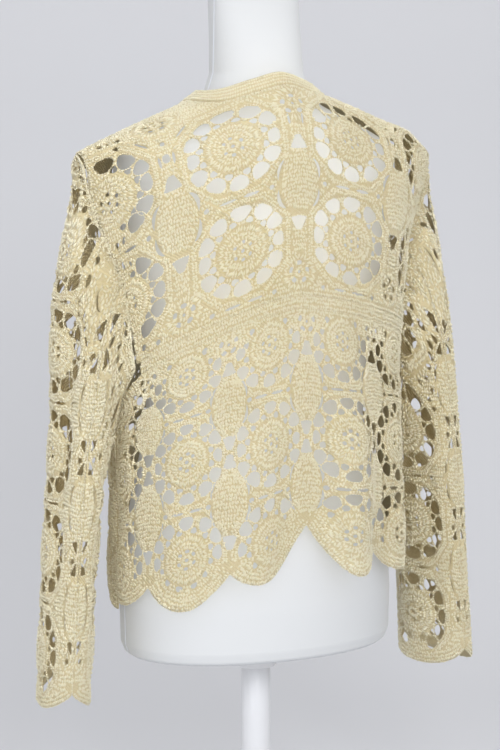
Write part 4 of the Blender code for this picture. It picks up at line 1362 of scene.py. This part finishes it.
def makeSleeve(name, node, side, isOuter):
    angles, places = armholeLoop(side)
    if not isOuter:
        angles = np.where(angles < 0, angles + 2 * math.pi, angles)
        order = np.argsort(angles)
        angles, places = angles[order], places[order]
    roundS = angles / (2 * math.pi) * sleeve["round"]
    top = (places[:, 2] - sleeve["bottom"]) / sleeve["rise"]
    quarter = sleeve["round"] / 4
    middle = 0.0 if isOuter else sleeve["round"] / 2
    low, high = middle - quarter + seamGap, middle + quarter - seamGap
    s = np.linspace(low, high, 60)
    edge = np.stack([s, np.interp(s, roundS, top)], axis=-1)
    share = np.abs(np.cos((s - middle) / sleeve["round"] * 2 * math.pi)) ** 0.7
    cuff = np.stack([s, sleeve["cuffNotch"] * (1 - share)], axis=-1)
    rightEdge = straightLine(cuff[-1], edge[-1], 8.0)
    leftEdge = straightLine(edge[0], cuff[0], 8.0)
    outline = closedOutline(cuff, rightEdge[1:-1], edge[::-1], leftEdge[1:-1])
    rows = [sleeve["firstWheel"] + k * sleeve["pitch"] for k in range(sleeve["wheels"])]
    wheels = [(middle, row) for row in rows]
    chart = newChart(wheels, lace["sleeveWide"], 53.0, 55.7)
    for wheel in wheels:
        addWheel(chart, wheel)
        addBandSlits(chart, (wheel[0], wheel[1] + 56.5), 12, 19, 33)
    for way in (-1, 1):
        column = middle + way * quarter
        for row in rows[:4]:
            addLeaf(chart, (column, row + sleeve["pitch"] / 2), lace["leafHalf"][0] * 0.75, ownSide=-way)
        for row in rows[:4]:
            addFan(chart, (column, row), 19.0)
    addSpares(chart, edge, 95.0)
    edgings = [(cuff, 3), (edge, 1)]
    lines = (cuff, edge, leftEdge, rightEdge) if isOuter else (cuff, edge)
    finishPiece(name, node, outline, chart, sleeveSurface(side), sleeveAxis(side), edgings, lines)


makeYoke()
makeLowerBack()
makeSeamBand()
makeFront("frontLeft", "front_left", 1)
makeFront("frontRight", "front_right", -1)
makeNeckband()
for sideName, side in (("Left", 1), ("Right", -1)):
    makeSleeve(f"sleeve{sideName}Outer", f"sleeve_{sideName.lower()}_outer", side, True)
    makeSleeve(f"sleeve{sideName}Inner", f"sleeve_{sideName.lower()}_inner", side, False)
print("cardigan made")

# Dress form and stand

dressForm = {
    "bottom": 260.0,
    "roundness": 2.15,
    "inset": 0.25,
    # (height above the bottom, half width, depth behind, depth in front)
    "sections": (
        (0, 156, 98, 96),
        (4, 161, 103, 100),
        (14, 165, 106, 103),
        (60, 166, 107, 104),
        (120, 163, 105, 101),
        (200, 148, 96, 92),
        (270, 131, 85, 85),
        (340, 137, 88, 97),
        (420, 153, 98, 111),
        (500, 166, 103, 108),
        (545, 171, 102, 101),
        (572, 170, 98, 93),
        (586, 160, 93, 86),
        (600, 134, 86, 76),
        (616, 99, 76, 64),
        (628, 74.8, 66, 56),
        (641, 61.8, 58, 50),
        (664, 54, 49, 49),
        (700, 53, 40, 53),
        (764, 52, 20, 68),
    ),
    "seamAngles": (0.0, 180.0),
    "capRadius": 45.0,
    "capHeight": 7.0,
}
stand = {
    "baseRadius": 150.0,
    "baseHeight": 18.0,
    "collar": 22.0,
    "poleRadius": 17.0,
    "socketRadius": 32.0,
    "socketHeight": 26.0,
}


def formPoint(height, angle, proud=0.0):
    rows = dressForm["sections"]
    places = [row[0] for row in rows]
    width, behind, before = (np.interp(height, places, [row[k] for row in rows]) for k in (1, 2, 3))
    c, s = np.cos(angle), np.sin(angle)
    power = 2 / dressForm["roundness"]
    x = np.sign(c) * np.abs(c) ** power * (width + proud)
    y = np.sign(s) * np.abs(s) ** power * (np.where(s > 0, behind, before) + proud)
    return np.stack(np.broadcast_arrays(x, y, dressForm["bottom"] + height), axis=-1)


def loftedObject(name, rings, material):
    sides = len(rings[0])
    points = np.vstack(rings)
    i = np.arange(sides)
    j = (i + 1) % sides
    faces = []
    for level in range(len(rings) - 1):
        a, b = level * sides, (level + 1) * sides
        faces += [np.stack([a + i, a + j, b + j], axis=-1), np.stack([a + i, b + j, b + i], axis=-1)]
    last = (len(rings) - 1) * sides
    middles = np.array([rings[0].mean(axis=0), rings[-1].mean(axis=0)])
    centre = len(points)
    faces.append(np.stack([j, i, np.full(sides, centre)], axis=-1))
    faces.append(np.stack([last + i, last + j, np.full(sides, centre + 1)], axis=-1))
    return meshObject(name, np.vstack([points, middles]), np.vstack(faces), material)


def makeForm():
    angles = np.arange(160) / 160 * 2 * math.pi
    heights = np.unique(np.concatenate([np.linspace(0, 764, 150), [row[0] for row in dressForm["sections"]]]))
    rings = [formPoint(height, angles, -dressForm["inset"]) for height in heights]
    torso = loftedObject("formCover", rings, formJersey)
    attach(torso, "root")
    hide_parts("form_torso")
    seamHeights = np.linspace(6, 760, 160)
    lines = [formPoint(seamHeights, np.full(160, math.radians(a)), 0.05) for a in dressForm["seamAngles"]]
    seams = tubesInSpace("formSeams", lines, 0.4, seamThread)
    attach(seams, "root")


def tubesInSpace(name, lines, radius, material, sides=6):
    points, faces, start = [], [], 0
    turns = np.arange(sides) * 2 * math.pi / sides
    for line in lines:
        along = np.gradient(line, axis=0)
        along /= np.linalg.norm(along, axis=1, keepdims=True)
        side = np.cross(along, (0.3, 0.5, 0.81))
        side /= np.linalg.norm(side, axis=1, keepdims=True)
        up = np.cross(side, along)
        spread = side[:, None] * np.cos(turns)[None, :, None] + up[:, None] * np.sin(turns)[None, :, None]
        points.append((line[:, None] + radius * spread).reshape(-1, 3))
        count = len(line)
        i, k = np.meshgrid(np.arange(count - 1), np.arange(sides), indexing="ij")
        m = (k + 1) % sides
        a, b, c, d = (start + x * sides + y for x, y in ((i, k), (i, m), (i + 1, m), (i + 1, k)))
        faces += [np.stack([a, c, b], axis=-1).reshape(-1, 3), np.stack([a, d, c], axis=-1).reshape(-1, 3)]
        end = start + (count - 1) * sides
        caps = [(start, start + q, start + q + 1) for q in range(1, sides - 1)]
        faces.append(np.array(caps + [(end, end + q + 1, end + q) for q in range(1, sides - 1)]))
        start += count * sides
    return meshObject(name, np.vstack(points), np.vstack(faces), material)


def makeTurned(name, node, profile, low, material, middleY=0.0, sides=96):
    angles = np.arange(sides) / sides * 2 * math.pi
    rings = []
    for radius, height in profile:
        rings.append(np.stack([np.cos(angles) * radius, np.sin(angles) * radius + middleY, np.full(sides, low + height)], axis=-1))
    made = loftedObject(name, rings, material)
    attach(made, "root")
    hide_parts(node)


def makeStand():
    height, _, behind, before = dressForm["sections"][-1]
    top = dressForm["bottom"] + height + seamGap
    cap = dressForm["capHeight"]
    radius = dressForm["capRadius"]
    profile = ((radius - 3, 0), (radius - 0.6, 0.5), (radius, 2), (radius - 0.4, cap - 2.4), (radius - 2, cap - 0.8), (radius - 5, cap))
    makeTurned("neckCap", "form_neck_cap", profile, top, formJersey, (behind - before) / 2)
    wide, tall = stand["socketRadius"], stand["socketHeight"]
    profile = ((23, 0), (24, 1), (24, 15.5), (24.8, 16.5), (wide - 1, 18), (wide, 19), (wide, tall - 0.6), (wide - 0.6, tall))
    socketLow = dressForm["bottom"] - seamGap - tall
    makeTurned("poleSocket", "stand_socket", profile, socketLow, standPaint)
    poleLow = stand["baseHeight"] + stand["collar"] + seamGap
    poleLength = socketLow - seamGap - poleLow
    pole = stand["poleRadius"]
    profile = ((pole - 1, 0), (pole, 1), (pole, poleLength - 1), (pole - 1, poleLength))
    makeTurned("pole", "stand_pole", profile, poleLow, standPaint)
    base, tall, collar = stand["baseRadius"], stand["baseHeight"], stand["collar"]
    profile = ((base - 3, 0), (base - 1, 0.8), (base, 3), (base, 8), (base - 1.5, 10.4), (base - 6, 12), (34, tall))
    profile += ((29, tall + 1.5), (27, tall + 4), (25.2, tall + collar - 1), (24.4, tall + collar))
    makeTurned("baseDisc", "stand_base", profile, 0.0, standPaint)


makeForm()
makeStand()
print("form and stand made")

# Studio

studio = {
    "floorTone": (0.71, 0.71, 0.725, 1),
    "wallBehind": 1.6,
    "curve": 0.9,
    "halfWidth": 3.0,
    "wallHeight": 3.0,
    "ambient": (0.96, 0.967, 0.985, 1),
    "ambientStrength": 0.7,
    "direct": 0.79,  # share of the lamps' light that falls straight on the cloth
    "throughLace": 0.75,  # share that the lace lets through to the form
    "throughYarn": 0.24,  # and that the yarn passes on, warmed, to the cloth behind it
    "directTint": (0.95, 0.985, 1.05),
    "yarnTint": (1.0, 0.8, 0.48),
}
# name, right of the view, height, towards the camera, size, watts, colour
lamps = (
    ("key", 0.5, 1.5, 2.3, 0.8, 31, (1.0, 0.98, 0.95)),
    ("fill", -1.2, 0.9, 2.2, 1.0, 13, (0.97, 0.98, 1.0)),
    ("top", -0.2, 2.5, -0.3, 1.3, 11, (1.0, 0.99, 0.98)),
)
# light that the lace passes on and the yarn reflects inwards, on the form alone:
# name, right of the view, height, towards the camera, aimed right, aimed height, degrees wide, watts, colour
glows = (
    ("yokeGlow", 0.8, 1.05, 1.2, 0.07, 0.845, 16, 34, (1.0, 0.99, 0.96)),
    ("bodyGlow", 0.3, 0.95, 1.7, 0.03, 0.63, 17, 36, (1.0, 0.8, 0.42)),
    ("lowGlow", 0.1, 0.7, 1.7, 0.0, 0.29, 17, 19, (0.97, 0.99, 1.0)),
)


def backdropMaterial():  # clear from behind, so that a view from there still shows the cardigan
    material = bpy.data.materials.new("paleBackdrop")
    material.use_nodes = True
    tree = material.node_tree
    paint = tree.nodes["Principled BSDF"]
    paint.inputs["Base Color"].default_value = studio["floorTone"]
    paint.inputs["Roughness"].default_value = 0.95
    clear = tree.nodes.new("ShaderNodeBsdfTransparent")
    mix = tree.nodes.new("ShaderNodeMixShader")
    tree.links.new(tree.nodes.new("ShaderNodeNewGeometry").outputs["Backfacing"], mix.inputs["Fac"])
    tree.links.new(paint.outputs["BSDF"], mix.inputs[1])
    tree.links.new(clear.outputs["BSDF"], mix.inputs[2])
    tree.links.new(mix.outputs["Shader"], tree.nodes["Material Output"].inputs["Surface"])
    return material


def makeBackdrop():
    back, right = viewDirections(cameraView)
    away = -Vector((back.x, back.y, 0)).normalized()
    profile = [(-4.0, 0.0), (studio["wallBehind"] - studio["curve"], 0.0)]
    for degrees in range(5, 91, 5):
        angle = math.radians(degrees)
        out = studio["wallBehind"] - studio["curve"] + math.sin(angle) * studio["curve"]
        profile.append((out, studio["curve"] * (1 - math.cos(angle))))
    profile.append((studio["wallBehind"], studio["wallHeight"]))
    points, faces = [], []
    for side in (-1, 1):
        for out, height in profile:
            place = away * out + right * side * studio["halfWidth"]
            points.append((place.x, place.y, height - 0.0005))
    count = len(profile)
    for i in range(count - 1):
        faces.append((i, count + i, count + i + 1, i + 1))
    mesh = bpy.data.meshes.new("backdrop")
    mesh.from_pydata(points, [], faces)
    mesh.shade_smooth()
    mesh.materials.append(backdropMaterial())
    backdrop = bpy.data.objects.new("backdrop", mesh)
    bpy.context.scene.collection.objects.link(backdrop)


def linkedPieces(name, materials, state):  # the pieces that a lamp lights or passes by
    linked = bpy.data.collections.new(name)
    for piece in bpy.data.objects:
        if piece.type == "MESH" and piece.data.materials and piece.data.materials[0] in materials:
            linked.objects.link(piece)
    for entry in linked.collection_objects:
        entry.light_linking.link_state = state
    return linked


def makeLights():
    back, right = viewDirections(cameraView)
    near = Vector((back.x, back.y, 0)).normalized()
    aim = Vector(cameraView["target"])
    onlyForm = linkedPieces("onlyForm", (formJersey,), "INCLUDE")
    allButForm = linkedPieces("allButForm", (formJersey,), "EXCLUDE")
    onlyCloth = linkedPieces("onlyCloth", (backingCotton, stitchCotton), "INCLUDE")
    white = (1.0, 1.0, 1.0)
    shares = (
        ("direct", allButForm, None, studio["directTint"]),
        ("throughLace", onlyForm, onlyForm, white),
        ("throughYarn", onlyCloth, onlyForm, studio["yarnTint"]),
    )
    for name, across, height, towards, size, watts, colour in lamps:
        # lace and yarn let light through, so the cloth shades the form and the cloth behind it in part only
        for share, receivers, blockers, tint in shares:
            data = bpy.data.lights.new(name + share.capitalize(), "AREA")
            data.size = size
            data.energy = watts * studio[share]
            data.color = [a * b for a, b in zip(colour, tint)]
            lamp = bpy.data.objects.new(data.name, data)
            lamp.location = right * across + near * towards + Vector((0, 0, height))
            lamp.rotation_euler = (lamp.location - aim).to_track_quat("Z", "Y").to_euler()
            lamp.light_linking.receiver_collection = receivers
            lamp.light_linking.blocker_collection = blockers
            bpy.context.scene.collection.objects.link(lamp)
    for name, across, height, towards, aimAcross, aimHeight, degrees, watts, colour in glows:
        data = bpy.data.lights.new(name, "SPOT")
        data.spot_size = math.radians(degrees)
        data.spot_blend = 1.0
        data.shadow_soft_size = 0.15
        data.energy = watts
        data.color = colour
        lamp = bpy.data.objects.new(name, data)
        lamp.location = right * across + near * towards + Vector((0, 0, height))
        spot = right * aimAcross + Vector((0, 0, aimHeight))
        lamp.rotation_euler = (lamp.location - spot).to_track_quat("Z", "Y").to_euler()
        lamp.light_linking.receiver_collection = onlyForm
        lamp.light_linking.blocker_collection = onlyForm
        bpy.context.scene.collection.objects.link(lamp)
    world = bpy.data.worlds.new("studio")
    world.use_nodes = True
    sky = world.node_tree.nodes["Background"]
    sky.inputs["Color"].default_value = studio["ambient"]
    sky.inputs["Strength"].default_value = studio["ambientStrength"]
    bpy.context.scene.world = world
    bpy.context.scene.view_settings.view_transform = "Standard"


makeBackdrop()
makeLights()
print("studio made")
